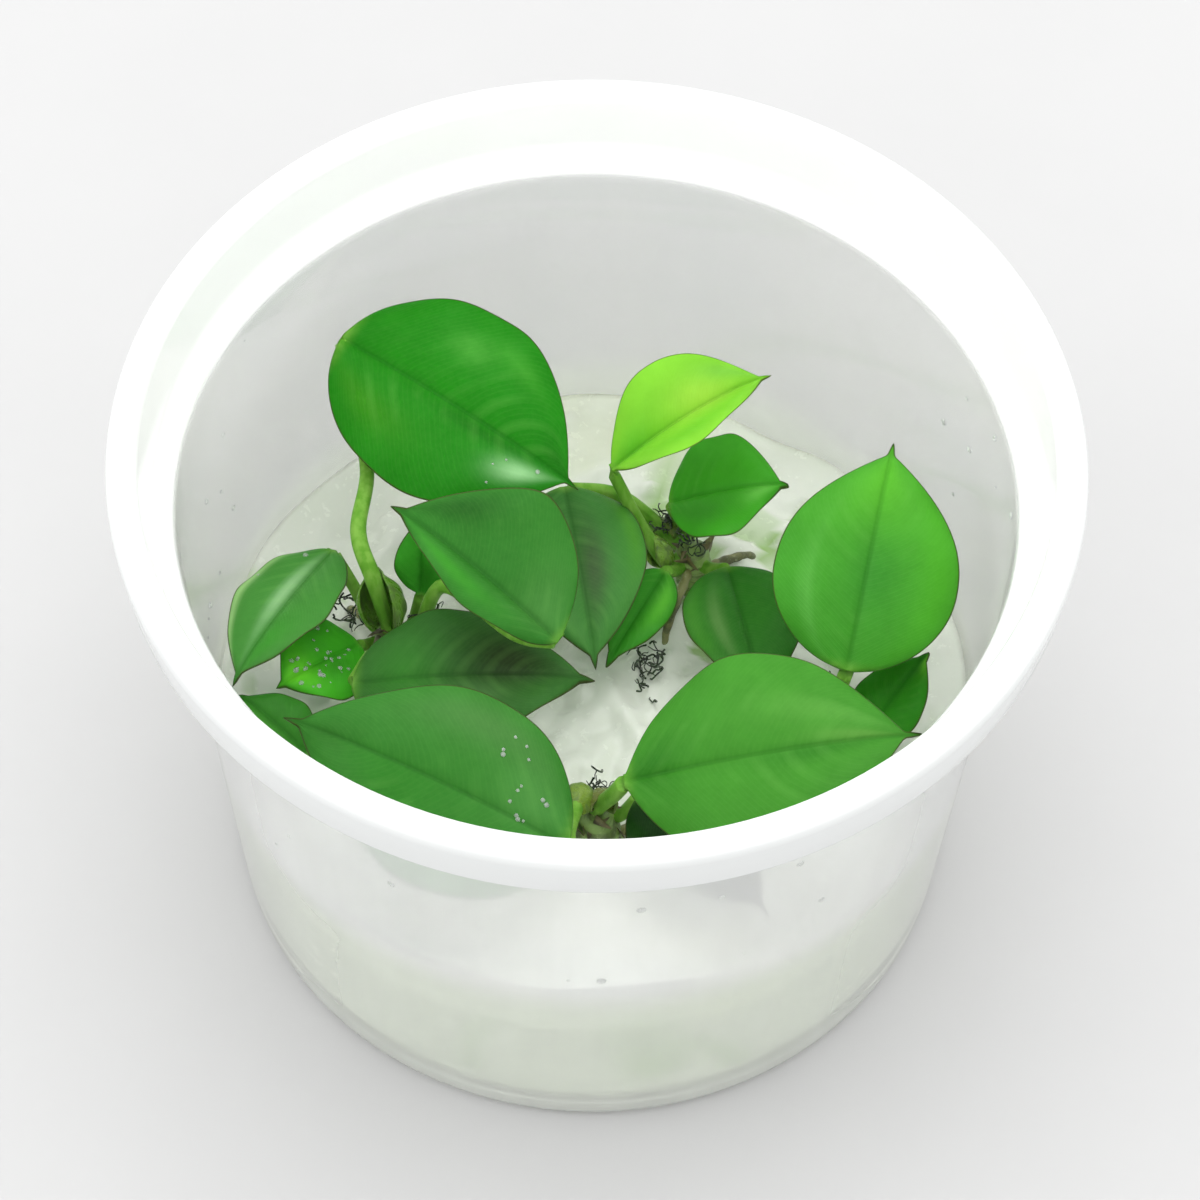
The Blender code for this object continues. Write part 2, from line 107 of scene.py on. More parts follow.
# ---- the leaves -------------------------------------------------------------------
# base and tip end the midrib, via are points on the stalk and stalk its radii. roll lifts the left
# half, arch bows the midrib, fold closes the halves, lean widens the left half, and widest, taper
# and tip_power shape the outline. tone is the blade's own colour. The patches are soft areas of
# lighter and darker tone, painted sheen and highlights, and painted shade and shadows cast by other
# leaves: (along, across, reach along, reach across, colour, strength).
LEAVES = {
    "leaf_tall_left": dict(
        on="rhizome_left", base=(-28.5, 26.0, 54.0), tip=(-2.0, 11.0, 47.5), width=23.0, roll=14,
        arch=0.05, fold=4, widest=0.47, tip_power=2.3, top=(-0.3, 0.1),
        stalk=(0.85, 0.95, 0.9, 0.8, 0.8, 0.8),
        via=[(-24.2, 2.6, 41.5), (-25.9, 6.4, 45.0), (-25.2, 13.0, 47.6), (-27.2, 21.0, 51.0)],
        tone=(25, 118, 12), tone_sheen_shadow_patches=[
            (0.42, 0.55, 0.09, 0.16, (72, 151, 52), 0.6),
            # Painted highlight: the pale (148, 200, 140) patch stands for the glossy streak of light
            # on the blade.
            (0.6, 0.7, 0.13, 0.13, (63, 146, 42), 0.6), (0.8, -0.4, 0.1, 0.2, (148, 200, 140), 0.9),
            (0.62, -0.1, 0.22, 0.1, (16, 91, 7), 0.7), (0.22, -0.55, 0.2, 0.22, (55, 124, 16), 0.6),
            (0.9, 0.3, 0.1, 0.35, (21, 87, 10), 0.5)]),
    "leaf_young": dict(
        on="rhizome_back", base=(1.6, 15.5, 45.0), tip=(18.8, 24.0, 52.0), width=15.0, roll=4,
        widest=0.52, arch=0.08, fold=40, taper=0.85, tip_power=1.8, side=205,
        via=[(5.0, 14.6, 36.0)], stalk=(0.9, 0.8, 0.7), tone=(122, 194, 49), tone_sheen_shadow_patches=[
            (0.62, 0.1, 0.22, 0.4, (163, 210, 72), 0.8),
            (0.15, 0.1, 0.16, 0.45, (95, 179, 42), 0.8),
            (0.8, 0.55, 0.16, 0.25, (116, 183, 70), 0.6),
            (0.5, -0.6, 0.3, 0.2, (95, 179, 37), 0.6)]),
    "leaf_small_back": dict(
        on="rhizome_back", base=(8.2, 17.0, 37.0), tip=(21.2, 16.8, 41.5), width=14.0, roll=4,
        side=100, arch=0.05, fold=14, widest=0.47, tip_power=2.3, via=[], stalk=(0.8, 0.7),
        tone=(58, 150, 32), tone_sheen_shadow_patches=[
            (0.3, -0.5, 0.35, 0.35, (40, 115, 23), 0.7),
            (0.8, -0.3, 0.14, 0.3, (106, 184, 77), 0.6)]),
    "leaf_right": dict(
        on="rhizome_right", base=(27.2, -8.4, 42.0), tip=(31.8, 12.5, 55.0), width=20.0, roll=0,
        arch=0.04, fold=5, tip_power=2.2, side=15, via=[(26.4, -7.6, 36.0)], stalk=(0.9, 0.85, 0.8),
        tone=(62, 142, 40), tone_sheen_shadow_patches=[
            (0.86, 0.0, 0.26, 0.8, (84, 169, 42), 0.9), (0.5, -0.8, 0.5, 0.28, (73, 163, 35), 0.8),
            (0.3, 0.62, 0.3, 0.1, (91, 165, 71), 0.6), (0.42, -0.1, 0.2, 0.3, (50, 126, 40), 0.7)]),
    "leaf_front_right": dict(
        on="rhizome_front", base=(3.6, -23.0, 42.0), tip=(33.9, -22.1, 51.5), width=23.0, roll=10,
        arch=0.05, fold=5, widest=0.47, taper=0.8, top=(0.8, -0.7), via=[(2.4, -22.6, 38.8)],
        stalk=(0.9, 0.9, 0.9), tone=(62, 133, 40), tone_sheen_shadow_patches=[
            (0.7, 0.42, 0.26, 0.2, (86, 151, 60), 0.7), (0.1, 0.1, 0.14, 0.6, (37, 107, 23), 0.7),
            (0.66, -0.08, 0.24, 0.12, (44, 112, 30), 0.7),
            (0.76, 0.62, 0.16, 0.07, (55, 126, 33), 0.7),
            (0.8, 0.1, 0.16, 0.1, (100, 154, 68), 0.6)]),
    "leaf_front_left": dict(
        on="rhizome_front", base=(-2.2, -31.0, 42.0), tip=(-31.8, -20.8, 50.0), width=22.0,
        roll=-10, arch=0.06, fold=4, top=(-1.2, 0.5), via=[(-2.2, -26.5, 38.5)],
        stalk=(0.9, 0.9, 0.9), tone=(51, 118, 40), tone_sheen_shadow_patches=[
            (0.16, -0.3, 0.14, 0.4, (81, 143, 68), 0.7), (0.4, -0.7, 0.3, 0.26, (77, 121, 64), 0.6),
            (0.6, 0.3, 0.2, 0.35, (39, 116, 25), 0.7), (0.86, 0.1, 0.12, 0.5, (43, 100, 31), 0.6)]),
    "leaf_middle_dark": dict(
        on="rhizome_left", base=(-26.0, -8.6, 37.5), tip=(0.2, -8.8, 40.0), width=16.5, roll=5,
        arch=0.06, fold=4, side=262, via=[(-24.2, -3.4, 35.6)], stalk=(0.9, 0.8, 0.8),
        tone=(51, 102, 41), tone_sheen_shadow_patches=[
            # Painted shadow: the dark (44, 56, 34) patch is the shadow that leaf_centre casts on
            # this blade, and the paler patches paint light on its lit part.
            (0.66, 0.25, 0.24, 0.6, (44, 56, 34), 0.95), (0.22, 0.1, 0.16, 0.6, (59, 132, 45), 0.7),
            (0.52, -0.4, 0.14, 0.24, (88, 128, 75), 0.6),
            (0.88, -0.3, 0.12, 0.4, (45, 94, 33), 0.6)]),
    "leaf_centre": dict(
        on="rhizome_left", base=(-3.8, -8.5, 46.5), tip=(-21.6, 2.1, 56.0), width=15.8, roll=-5,
        arch=0.05, fold=18, widest=0.48, taper=0.65, lean=-0.4, tip_power=1.7,
        via=[(-16.5, 1.4, 42.2), (-8.5, -6.5, 45.0)], stalk=(0.9, 0.8, 0.8, 0.8),
        tone=(47, 113, 37), tone_sheen_shadow_patches=[
            (0.62, 0.55, 0.3, 0.26, (55, 138, 36), 0.8),
            # Painted shade: the dark (24, 76, 18) patch darkens the folded half of the blade where
            # shade falls.
            (0.14, -0.2, 0.18, 0.6, (73, 130, 60), 0.7), (0.74, -0.6, 0.2, 0.36, (24, 76, 18), 0.8),
            (0.46, -0.2, 0.16, 0.3, (43, 106, 36), 0.5)]),
    "leaf_behind_centre": dict(
        on="rhizome_back", base=(-3.7, 17.6, 38.5), tip=(0.3, -6.0, 38.0), width=15.6, roll=0,
        arch=0.06, fold=4, side=135, via=[(2.6, 18.6, 36.0)], stalk=(0.9, 0.8, 0.8),
        tone=(61, 120, 51), tone_sheen_shadow_patches=[
            # Painted shadow: the dark (61, 73, 53) patch is the shade that leaf_centre and
            # leaf_tall_left cast on this blade.
            (0.5, 0.2, 0.3, 0.26, (61, 73, 53), 0.8), (0.68, -0.6, 0.24, 0.24, (96, 157, 80), 0.7),
            (0.3, 0.85, 0.3, 0.14, (77, 143, 42), 0.7)]),
    "leaf_under_centre": dict(
        on="rhizome_back", base=(7.8, 10.0, 33.5), tip=(1.5, -3.0, 34.0), width=7.0, roll=-8,
        arch=0.04, fold=12, via=[], stalk=(0.7, 0.7), tone=(51, 135, 33), tone_sheen_shadow_patches=[
            (0.3, 0.55, 0.3, 0.3, (93, 180, 53), 0.8)]),
    "leaf_under_right": dict(
        on="rhizome_back", base=(14.8, 10.5, 33.6), tip=(18.8, -9.0, 35.5), width=13.5, roll=0,
        arch=0.05, fold=10, via=[], stalk=(0.8, 0.7), tone=(41, 104, 29), tone_sheen_shadow_patches=[
            (0.45, -0.45, 0.3, 0.14, (90, 131, 69), 0.8),
            (0.4, -0.85, 0.4, 0.16, (65, 130, 40), 0.7)]),
    "leaf_left_wall": dict(
        on="rhizome_left", base=(-29.2, 8.6, 38.0), tip=(-38.6, -11.0, 41.0), width=11.5, roll=10,
        arch=0.05, fold=10, widest=0.48, taper=0.6, via=[(-26.6, 5.6, 35.0)], stalk=(0.8, 0.7, 0.7),
        tone=(67, 134, 54), tone_sheen_shadow_patches=[
            (0.4, -0.14, 0.34, 0.13, (151, 195, 140), 0.8),
            (0.5, -0.92, 0.5, 0.1, (166, 212, 135), 0.8),
            (0.72, 0.3, 0.2, 0.4, (58, 147, 41), 0.6)]),
    "leaf_small_left": dict(
        on="rhizome_left", base=(-26.0, -0.4, 33.0), tip=(-34.2, -8.0, 36.0), width=11.0, roll=-12,
        side=205, arch=0.05, fold=8, widest=0.47, tip_power=2.2, via=[], stalk=(0.7, 0.6),
        tone=(66, 173, 36), tone_sheen_shadow_patches=[
            (0.8, 0.0, 0.2, 0.6, (122, 234, 55), 0.8), (0.4, 0.3, 0.2, 0.3, (52, 137, 34), 0.7)]),
    "leaf_low_front": dict(
        on="rhizome_front", base=(5.2, -20.6, 35.4), tip=(18.6, -35.2, 37.5), width=13.0, roll=0,
        arch=0.05, fold=6, taper=0.7, via=[], stalk=(0.8, 0.7), tone=(23, 63, 16), tone_sheen_shadow_patches=[
            (0.3, 0.5, 0.3, 0.3, (39, 103, 26), 0.6)]),
    "leaf_low_right": dict(
        on="rhizome_right", base=(29.2, -12.6, 34.0), tip=(36.5, -3.3, 38.5), width=8.0, roll=0,
        arch=0.05, fold=6, side=-65, via=[(26.5, -11.0, 32.8)], stalk=(0.7, 0.65, 0.6),
        tone=(42, 126, 21), tone_sheen_shadow_patches=[
            (0.9, -0.6, 0.12, 0.4, (120, 206, 55), 0.6)]),
    "leaf_low_left": dict(
        on="rhizome_front", base=(-30.5, -15.5, 34.0), tip=(-38.3, -9.8, 37.0), width=8.0, roll=0,
        arch=0.05, fold=6, via=[(-9.0, -24.5, 33.0), (-21.0, -24.4, 32.6)],
        stalk=(0.8, 0.7, 0.7, 0.6), tone=(54, 124, 39), tone_sheen_shadow_patches=[
            (0.5, 0.5, 0.4, 0.3, (94, 166, 67), 0.6)]),
    "leaf_bud_left": dict(
        on="rhizome_left", base=(-19.2, 4.6, 36.0), tip=(-18.8, 9.6, 45.0), width=6.5, roll=0,
        arch=0.05, fold=24, taper=0.8, via=[], stalk=(0.8, 0.7), tone=(57, 152, 39), tone_sheen_shadow_patches=[
            (0.3, -0.3, 0.2, 0.4, (37, 108, 23), 0.7)]),
}

# ---- roots: the rhizome, the height where the root leaves it, and points down into the gel
ROOTS = {
    "root_left_1": (
        "rhizome_left", 30.0, [(-16.0, 4.4, 28.4), (-13.4, 5.8, 22.0), (-12.6, 7.6, 14.0)]),
    "root_left_2": (
        "rhizome_left", 28.0, [(-26.6, -4.6, 25.6), (-28.2, -6.0, 19.0), (-28.6, -5.2, 13.0)]),
    "root_left_3": (
        "rhizome_left", 29.0, [(-27.4, 8.2, 27.2), (-29.4, 10.4, 21.0), (-29.0, 12.6, 15.0)]),
    "root_back_1": (
        "rhizome_back", 29.0, [(6.4, 20.2, 27.0), (5.0, 23.0, 20.0), (5.6, 25.2, 12.0)]),
    "root_back_2": (
        "rhizome_back", 28.0, [(17.8, 17.4, 26.4), (20.0, 19.0, 19.0), (19.6, 20.6, 13.0)]),
    "root_back_3": ("rhizome_back", 30.0, [(8.2, 5.6, 28.6), (7.2, 1.6, 23.0), (6.6, 0.4, 14.0)]),
    "root_front_1": (
        "rhizome_front", 28.5, [(8.6, -16.6, 26.6), (11.0, -15.2, 20.0), (12.2, -14.4, 12.0)]),
    "root_front_2": (
        "rhizome_front", 26.0, [(-6.4, -26.4, 22.0), (-9.0, -29.0, 16.0), (-10.0, -30.4, 8.0)]),
    "root_front_3": ("rhizome_front", 17.0, [(12.0, -32.6, 13.0), (14.6, -32.2, 7.5)]),
    "root_right_1": (
        "rhizome_right", 27.6, [(27.6, -2.6, 25.4), (29.6, -1.0, 19.0), (29.8, 1.4, 12.0)]),
}

# ---- tangles of fine roots: centre, spread, number of fibres ----------------------
TANGLES = [
    ((-27.6, 4.0, 33.0), (2.2, 2.4, 1.6), 16), ((-18.6, 5.4, 34.0), (2.0, 2.8, 2.4), 18),
    ((-21.6, -1.6, 31.4), (2.0, 1.2, 1.4), 10), ((8.4, 17.6, 33.2), (1.8, 2.4, 1.6), 20),
    ((6.2, 0.6, 29.2), (1.9, 3.4, 1.0), 22), ((10.8, 14.4, 34.0), (1.6, 1.4, 1.0), 10),
    ((0.4, -18.6, 33.6), (1.8, 2.2, 1.6), 16), ((25.4, -3.4, 31.0), (1.8, 1.8, 1.4), 8),
]

# ---- sheaths at the feet of stalks: the leaf, length, foot radius, opening in degrees, colour
SHEATHS = [
    ("leaf_tall_left", 9.0, 2.3, 80, (122, 176, 66)),
    ("leaf_young", 5.0, 1.3, 60, (150, 196, 80)),
    ("leaf_front_right", 3.6, 1.4, 100, (120, 130, 60)),
    ("leaf_front_left", 4.4, 1.5, 100, (136, 168, 60)),
    ("leaf_right", 5.0, 1.3, 90, (112, 150, 56)),
    ("leaf_behind_centre", 3.6, 1.3, 110, (128, 150, 72)),
]

# ---- leaves with water on them: the leaf, its region (along from, to, across from, to) and the
# number of beads on a square metre
WET_LEAVES = [
    ("leaf_small_left", (0.15, 0.85, -0.7, 0.7), 700000.0),
    ("leaf_front_left", (0.10, 0.32, -0.75, 0.0), 300000.0),
    ("leaf_tall_left", (0.70, 0.92, -0.65, -0.2), 120000.0),
    ("leaf_left_wall", (0.1, 0.5, -0.9, -0.5), 200000.0),
]

# ---- strips of wall with water on them: name, lowest and highest point, angles in degrees, whether
# it is the outer wall, and the shares of the usual density and of the largest bead
WET_WALLS = [
    ("beads_left", 34.0, 60.0, 150, 212, False, 1.6, 0.7),
    ("beads_front", 30.0, 58.0, 215, 325, True, 0.8, 1.1),
    ("beads_right", 34.0, 60.0, -30, 40, False, 0.6, 0.8),
]


# ---- settings that a user would change -----------------------------------------------
def colour_setting(name, description, default):
    return FloatVectorProperty(name=name, description=description, default=default, subtype="COLOR",
                               size=3, min=0.0, max=1.0)


def share_setting(name, description, default):
    return FloatProperty(name=name, description=description, default=default, min=0.0, max=1.0,
                         subtype="FACTOR")


def length_setting(name, description, default, low, high):
    """A length, its default and its limits in millimetres."""
    return FloatProperty(name=name, description=description, default=default * MM, min=low * MM,
                         max=high * MM, unit="LENGTH")


class CupSettings(bpy.types.PropertyGroup):
    """The cup's roundness and plastic."""
    segments: IntProperty(name="Segments", description="Points round the cup", default=192, min=48,
                          max=360)
    plastic: colour_setting("Plastic", "Colour of the translucent plastic", (0.97, 0.97, 0.965))
    wetted: colour_setting("Wetted wall", "Colour of the wall where gel lies behind it",
                           (0.965, 1.0, 0.925))
    lip: colour_setting("Lip", "Colour of the denser flat rim", (0.72, 0.735, 0.73))
    clearness: share_setting("Clearness", "Share of light that passes the body's wall", 0.58)


class GelSettings(bpy.types.PropertyGroup):
    """The nutrient gel."""
    tone: colour_setting("Tone", "Colour of the gel's body", (0.93, 0.985, 0.85))
    clearness: share_setting("Clearness", "Share of light that passes the gel's skin", 0.26)
    lumps: length_setting("Lumps", "Height of the small lumps on top", 0.45, 0.0, 2.0)


class LeafSettings(bpy.types.PropertyGroup):
    """The leaves' surface."""
    thickness: length_setting("Thickness", "Thickness of a blade", 0.5, 0.2, 1.0)
    vein_relief: length_setting("Vein relief", "Height of the side veins", 0.02, 0.0, 0.3)
    margin_wave: length_setting("Margin wave", "Height of the margin's waves", 0.35, 0.0, 2.0)
    stalk: colour_setting("Stalk", "Colour of the leaf stalks", (0.12, 0.34, 0.03))
    margin: colour_setting("Margin", "Colour of the thin line round a blade", (0.05, 0.045, 0.015))


class FootSettings(bpy.types.PropertyGroup):
    """Rhizomes, roots, sheaths and fibres."""
    rhizome: colour_setting("Rhizome", "Colour of the rhizome's skin", (0.24, 0.38, 0.10))
    root: colour_setting("Root", "Colour of the roots", (0.26, 0.27, 0.10))
    fibre: colour_setting("Fibre", "Colour of the fine root tangles", (0.035, 0.06, 0.025))
    fibre_radius: length_setting("Fibre radius", "Radius of a fine root", 0.13, 0.05, 0.5)


class WaterSettings(bpy.types.PropertyGroup):
    """Beads of water on the walls and the leaves."""
    density: FloatProperty(name="Density", description="Beads on a square metre of wall",
                           default=9000.0, min=0.0, max=50000.0)
    largest: length_setting("Largest bead", "Radius of the largest bead", 0.55, 0.1, 2.0)


class StageSettings(bpy.types.PropertyGroup):
    """Floor, light and camera."""
    floor: colour_setting("Floor", "Colour of the floor", (0.53, 0.53, 0.53))
    lens: FloatProperty(name="Lens", description="Focal length", default=103.2, min=20.0, max=300.0)
    ambient: FloatProperty(name="Ambient", description="Strength of the even light", default=1.5,
                           min=0.0)
    overhead: FloatProperty(name="Overhead", description="Power of the light above", default=1.2,
                            min=0.0, unit="POWER")


# ---- colours and materials -----------------------------------------------------------
FLOW_MARKS = 0.03
RIM_CLEARNESS = 0.15
INNER_CLEARNESS = 0.92
WET_GAIN = 0.08


def srgb(colour):
    """A screen colour in 0 to 255 as the linear numbers that a shader takes."""
    return tuple((c / 255 / 12.92) if c < 10 else ((c / 255 + 0.055) / 1.055) ** 2.4 for c in colour)


class Finish:
    """A new material with short calls for the nodes that it is made of."""

    def __init__(self, name, **plain):
        self.material = bpy.data.materials.new(name)
        self.material.use_nodes = True
        self.tree = self.material.node_tree
        self.shader = self.tree.nodes["Principled BSDF"]
        self.place = self.node("ShaderNodeTexCoord").outputs["Object"]
        for socket, value in plain.items():
            self.shader.inputs[socket.replace("_", " ")].default_value = value

    def node(self, kind, **settings):
        made = self.tree.nodes.new(kind)
        for key, value in settings.items():
            setattr(made, key, value)
        return made

    def fill(self, socket, value):
        """Give a socket a number, a colour or another node's output."""
        if isinstance(value, bpy.types.NodeSocket):
            self.tree.links.new(value, socket)
        elif isinstance(value, (tuple, list)) and len(value) == 3 and socket.type == "RGBA":
            socket.default_value = (*value, 1.0)
        else:
            socket.default_value = value

    def surface(self, **inputs):
        for name, value in inputs.items():
            self.fill(self.shader.inputs[name.replace("_", " ")], value)
        return self.material

    def sum(self, kind, a, b=0.0, c=0.0):
        made = self.node("ShaderNodeMath", operation=kind)
        for socket, value in zip(made.inputs, (a, b, c)):
            self.fill(socket, value)
        return made.outputs[0]

    def times(self, first, *others):
        for other in others:
            first = self.sum("MULTIPLY", first, other)
        return first

    def blend(self, share, a, b, kind="MIX"):
        made = self.node("ShaderNodeMix", data_type="RGBA", blend_type=kind)
        for index, value in ((0, share), (6, a), (7, b)):
            self.fill(made.inputs[index], value)
        return made.outputs[2]

    def coats(self, tint, *layers):
        """Lay (share, colour) layers over a colour, one after the other."""
        for share, colour in layers:
            tint = self.blend(share, tint, colour)
        return tint

    def ramp(self, value, low, high, start=0.0, end=1.0):
        """A smooth step: start below low, end above high."""
        made = self.node("ShaderNodeMapRange", interpolation_type="SMOOTHSTEP")
        for socket, given in zip(made.inputs, (value, low, high, start, end)):
            self.fill(socket, given)
        return made.outputs[0]

    def level(self, height, low, high, start=0.0, end=1.0):
        """A smooth step between two heights or radii in millimetres."""
        return self.ramp(height, low * MM, high * MM, start, end)

    def stretch(self, scale):
        made = self.node("ShaderNodeMapping")
        self.fill(made.inputs["Vector"], self.place)
        made.inputs["Scale"].default_value = scale
        return made.outputs[0]

    def noise(self, scale, detail=3.0, rough=0.5, vector=None, distortion=0.0):
        made = self.node("ShaderNodeTexNoise")
        self.fill(made.inputs["Vector"], vector or self.place)
        for name, value in (("Scale", scale), ("Detail", detail), ("Roughness", rough),
                            ("Distortion", distortion)):
            made.inputs[name].default_value = value
        return made.outputs[0]

    def attribute(self, name, output="Fac"):
        return self.node("ShaderNodeAttribute", attribute_name=name).outputs[output]

    def axes(self):
        made = self.node("ShaderNodeSeparateXYZ")
        self.fill(made.inputs[0], self.place)
        return made.outputs

    def bump(self, height, distance, strength=1.0, under=None):
        made = self.node("ShaderNodeBump")
        self.fill(made.inputs["Height"], height)
        made.inputs["Strength"].default_value = strength
        made.inputs["Distance"].default_value = distance
        if under:
            self.fill(made.inputs["Normal"], under)
        return made.outputs[0]


def cup_plastic(settings):
    """Milky moulded plastic: denser in the rim, with faint flow marks and a satin skin."""
    skin = Finish("cup_plastic", IOR=1.49, Specular_IOR_Level=0.4)
    east, north, height = skin.axes()
    out = skin.sum("SQRT", skin.sum("ADD", skin.times(east, east), skin.times(north, north)))
    rim = skin.level(height, STEP_HEIGHT - 1.5, STEP_HEIGHT + 1.0)
    lip = skin.level(out, RIM_RADIUS - RIM_LAND - 0.4, RIM_RADIUS - RIM_LAND + 0.2)
    wetted = skin.level(height, GEL_LEVEL - 1.0, GEL_LEVEL + 6.0, 1.0, 0.0)
    haze = skin.noise(45.0, 2.0)
    flow = skin.noise(110.0, 3.0, vector=skin.stretch((1.0, 1.0, 0.12)))
    scuffs = skin.noise(700.0, 3.0, 0.6)
    slope = (wall_radius(STEP_HEIGHT) - wall_radius(0.0)) / STEP_HEIGHT
    middle = skin.sum("MULTIPLY_ADD", height, slope, (wall_radius(0.0) + WALL / 2) * MM)
    inner = skin.times(skin.level(skin.sum("SUBTRACT", out, middle), -0.1, 0.1, 1.0, 0.0),
                       skin.level(height, FLOOR_TOP + 1.0, FLOOR_TOP + 2.5),
                       skin.ramp(rim, 0.0, 1.0, 1.0, 0.0))
    clear = skin.sum("MULTIPLY_ADD", skin.ramp(flow, 0.3, 0.7), FLOW_MARKS,
                     settings.clearness - FLOW_MARKS / 2)
    clear = skin.times(clear, skin.ramp(rim, 0.0, 1.0, 1.0, RIM_CLEARNESS))
    clear = skin.sum("MAXIMUM", clear, skin.times(inner, INNER_CLEARNESS))
    wet_gain = skin.times(wetted, skin.level(height, FLOOR_TOP, FLOOR_TOP + 5.0, 0.0, WET_GAIN))
    clear = skin.sum("MINIMUM", skin.sum("ADD", wet_gain, clear), INNER_CLEARNESS + 0.01)
    tint = skin.blend(skin.ramp(haze, 0.35, 0.7), tuple(settings.plastic), (0.955, 0.96, 0.96))
    tint = skin.coats(tint, (wetted, tuple(settings.wetted)), (rim, (0.985, 0.985, 0.98)),
                      (lip, tuple(settings.lip)))
    relief = skin.bump(scuffs, 0.001 * MM, 0.3, skin.bump(flow, 0.03 * MM, 0.2))
    rough = skin.sum("MULTIPLY_ADD", skin.ramp(scuffs, 0.3, 0.8), 0.05, 0.07)
    return skin.surface(Base_Color=tint, Transmission_Weight=clear, Roughness=rough, Normal=relief)


def culture_gel(settings):
    """Milky gel, green where a plant's foot lies behind its skin, and cloudier and whiter on top."""
    skin = Finish("culture_gel", IOR=1.34)
    _, _, height = skin.axes()
    top = skin.level(height, GEL_LEVEL - 6.0, GEL_LEVEL - 3.5)
    cloud = skin.noise(90.0, 4.0, 0.55, distortion=0.6)
    grain = skin.noise(650.0, 5.0, 0.65)
    white = skin.sum("MULTIPLY_ADD", top, 0.6, skin.times(skin.ramp(cloud, 0.35, 0.68), 0.4))
    tint = skin.coats(tuple(settings.tone), (white, (0.95, 0.985, 0.89)),
                      (skin.ramp(skin.noise(35.0, 2.0), 0.55, 0.8), (0.86, 0.92, 0.70)),
                      (skin.attribute("plants"), (0.32, 0.58, 0.12)))
    clear = skin.sum("MULTIPLY_ADD", skin.ramp(cloud, 0.4, 0.65), -0.10, settings.clearness)
    clear = skin.times(clear, skin.ramp(top, 0.0, 1.0, 1.0, 0.25))
    relief = skin.bump(grain, 0.12 * MM, 0.5, skin.bump(cloud, 0.5 * MM, 0.5))
    return skin.surface(Base_Color=tint, Transmission_Weight=clear, Normal=relief,
                        Roughness=skin.ramp(grain, 0.3, 0.7, 0.10, 0.30))


SIDE_VEINS = 9.0
FINE_VEINS = 5
VEIN_SWEEP = 0.30


def leaf_skin(settings):
    """Waxy blade: soft arching veins, darker midrib line, thin dark margin and a mild gloss."""
    skin = Finish("leaf_skin", IOR=1.42, Specular_IOR_Level=0.07, Coat_Weight=0.03,
                  Coat_Roughness=0.20, Coat_IOR=1.33)
    across = skin.sum("ABSOLUTE", skin.attribute("across"))
    along, half = skin.attribute("along"), skin.attribute("half_mm")
    sweep = skin.times(skin.sum("POWER", across, 1.3), VEIN_SWEEP)
    station = skin.sum("SUBTRACT", along, sweep)
    wobble = skin.sum("MULTIPLY_ADD", skin.noise(120.0, 2.0), 0.05, station)
    blade = skin.ramp(along, 0.0, 0.05)
    vein, fine = (skin.ramp(skin.sum("SINE", skin.times(wobble, math.tau * count)), low, 1.0)
                  for count, low in ((SIDE_VEINS, 0.0), (SIDE_VEINS * FINE_VEINS, 0.2)))
    vein = skin.times(vein, skin.ramp(across, 0.35, 0.95, 1.0, 0.0), blade)
    rib = skin.times(skin.ramp(skin.times(across, half), 0.12, 0.42, 1.0, 0.0), blade)
    to_edge = skin.times(skin.sum("SUBTRACT", 1.0, across), half)
    edge = skin.times(skin.ramp(to_edge, 0.04, 0.24, 1.0, 0.0), blade)
    mottle = skin.ramp(skin.noise(260.0, 4.0, 0.6), 0.3, 0.7)
    uneven = skin.ramp(skin.noise(95.0, 2.0, 0.5, distortion=0.8), 0.46, 0.70)
    cells = skin.ramp(skin.noise(1500.0, 3.0, 0.6), 0.3, 0.7)
    # The tone attribute holds each blade's own colour together with its painted sheen and painted
    # shadow patches.
    tone = skin.attribute("tone", "Color")
    deep = skin.blend(1.0, tone, (0.62, 0.70, 0.60), "MULTIPLY")
    pale = skin.blend(0.26, tone, (0.30, 0.72, 0.16))
    tint = skin.coats(tone, (skin.times(mottle, 0.30), deep), (skin.times(cells, 0.06), pale),
                      (skin.times(fine, 0.05), pale), (skin.times(vein, uneven, 0.20), pale),
                      (skin.times(rib, 0.55), deep))
    under = skin.blend(0.35, tint, (0.22, 0.42, 0.16))
    tint = skin.blend(skin.attribute("upper"), under, tint)
    streaks = skin.noise(300.0, 3.0, vector=skin.stretch((3, 3, 0.6)))
    stalk = skin.blend(skin.ramp(streaks, 0.3, 0.7), tuple(settings.stalk), (0.22, 0.46, 0.07))
    tint = skin.blend(skin.ramp(along, -0.04, 0.06), stalk, tint)
    tint = skin.blend(skin.times(edge, 0.8), tint, tuple(settings.margin))
    relief = skin.bump(fine, 0.012 * MM, 0.6, skin.bump(cells, 0.010 * MM, 0.6))
    relief = skin.bump(vein, 0.02 * MM, 0.5, relief)
    rough = skin.sum("MULTIPLY_ADD", mottle, 0.14, 0.30)
    return skin.surface(Base_Color=tint, Roughness=rough, Normal=relief)


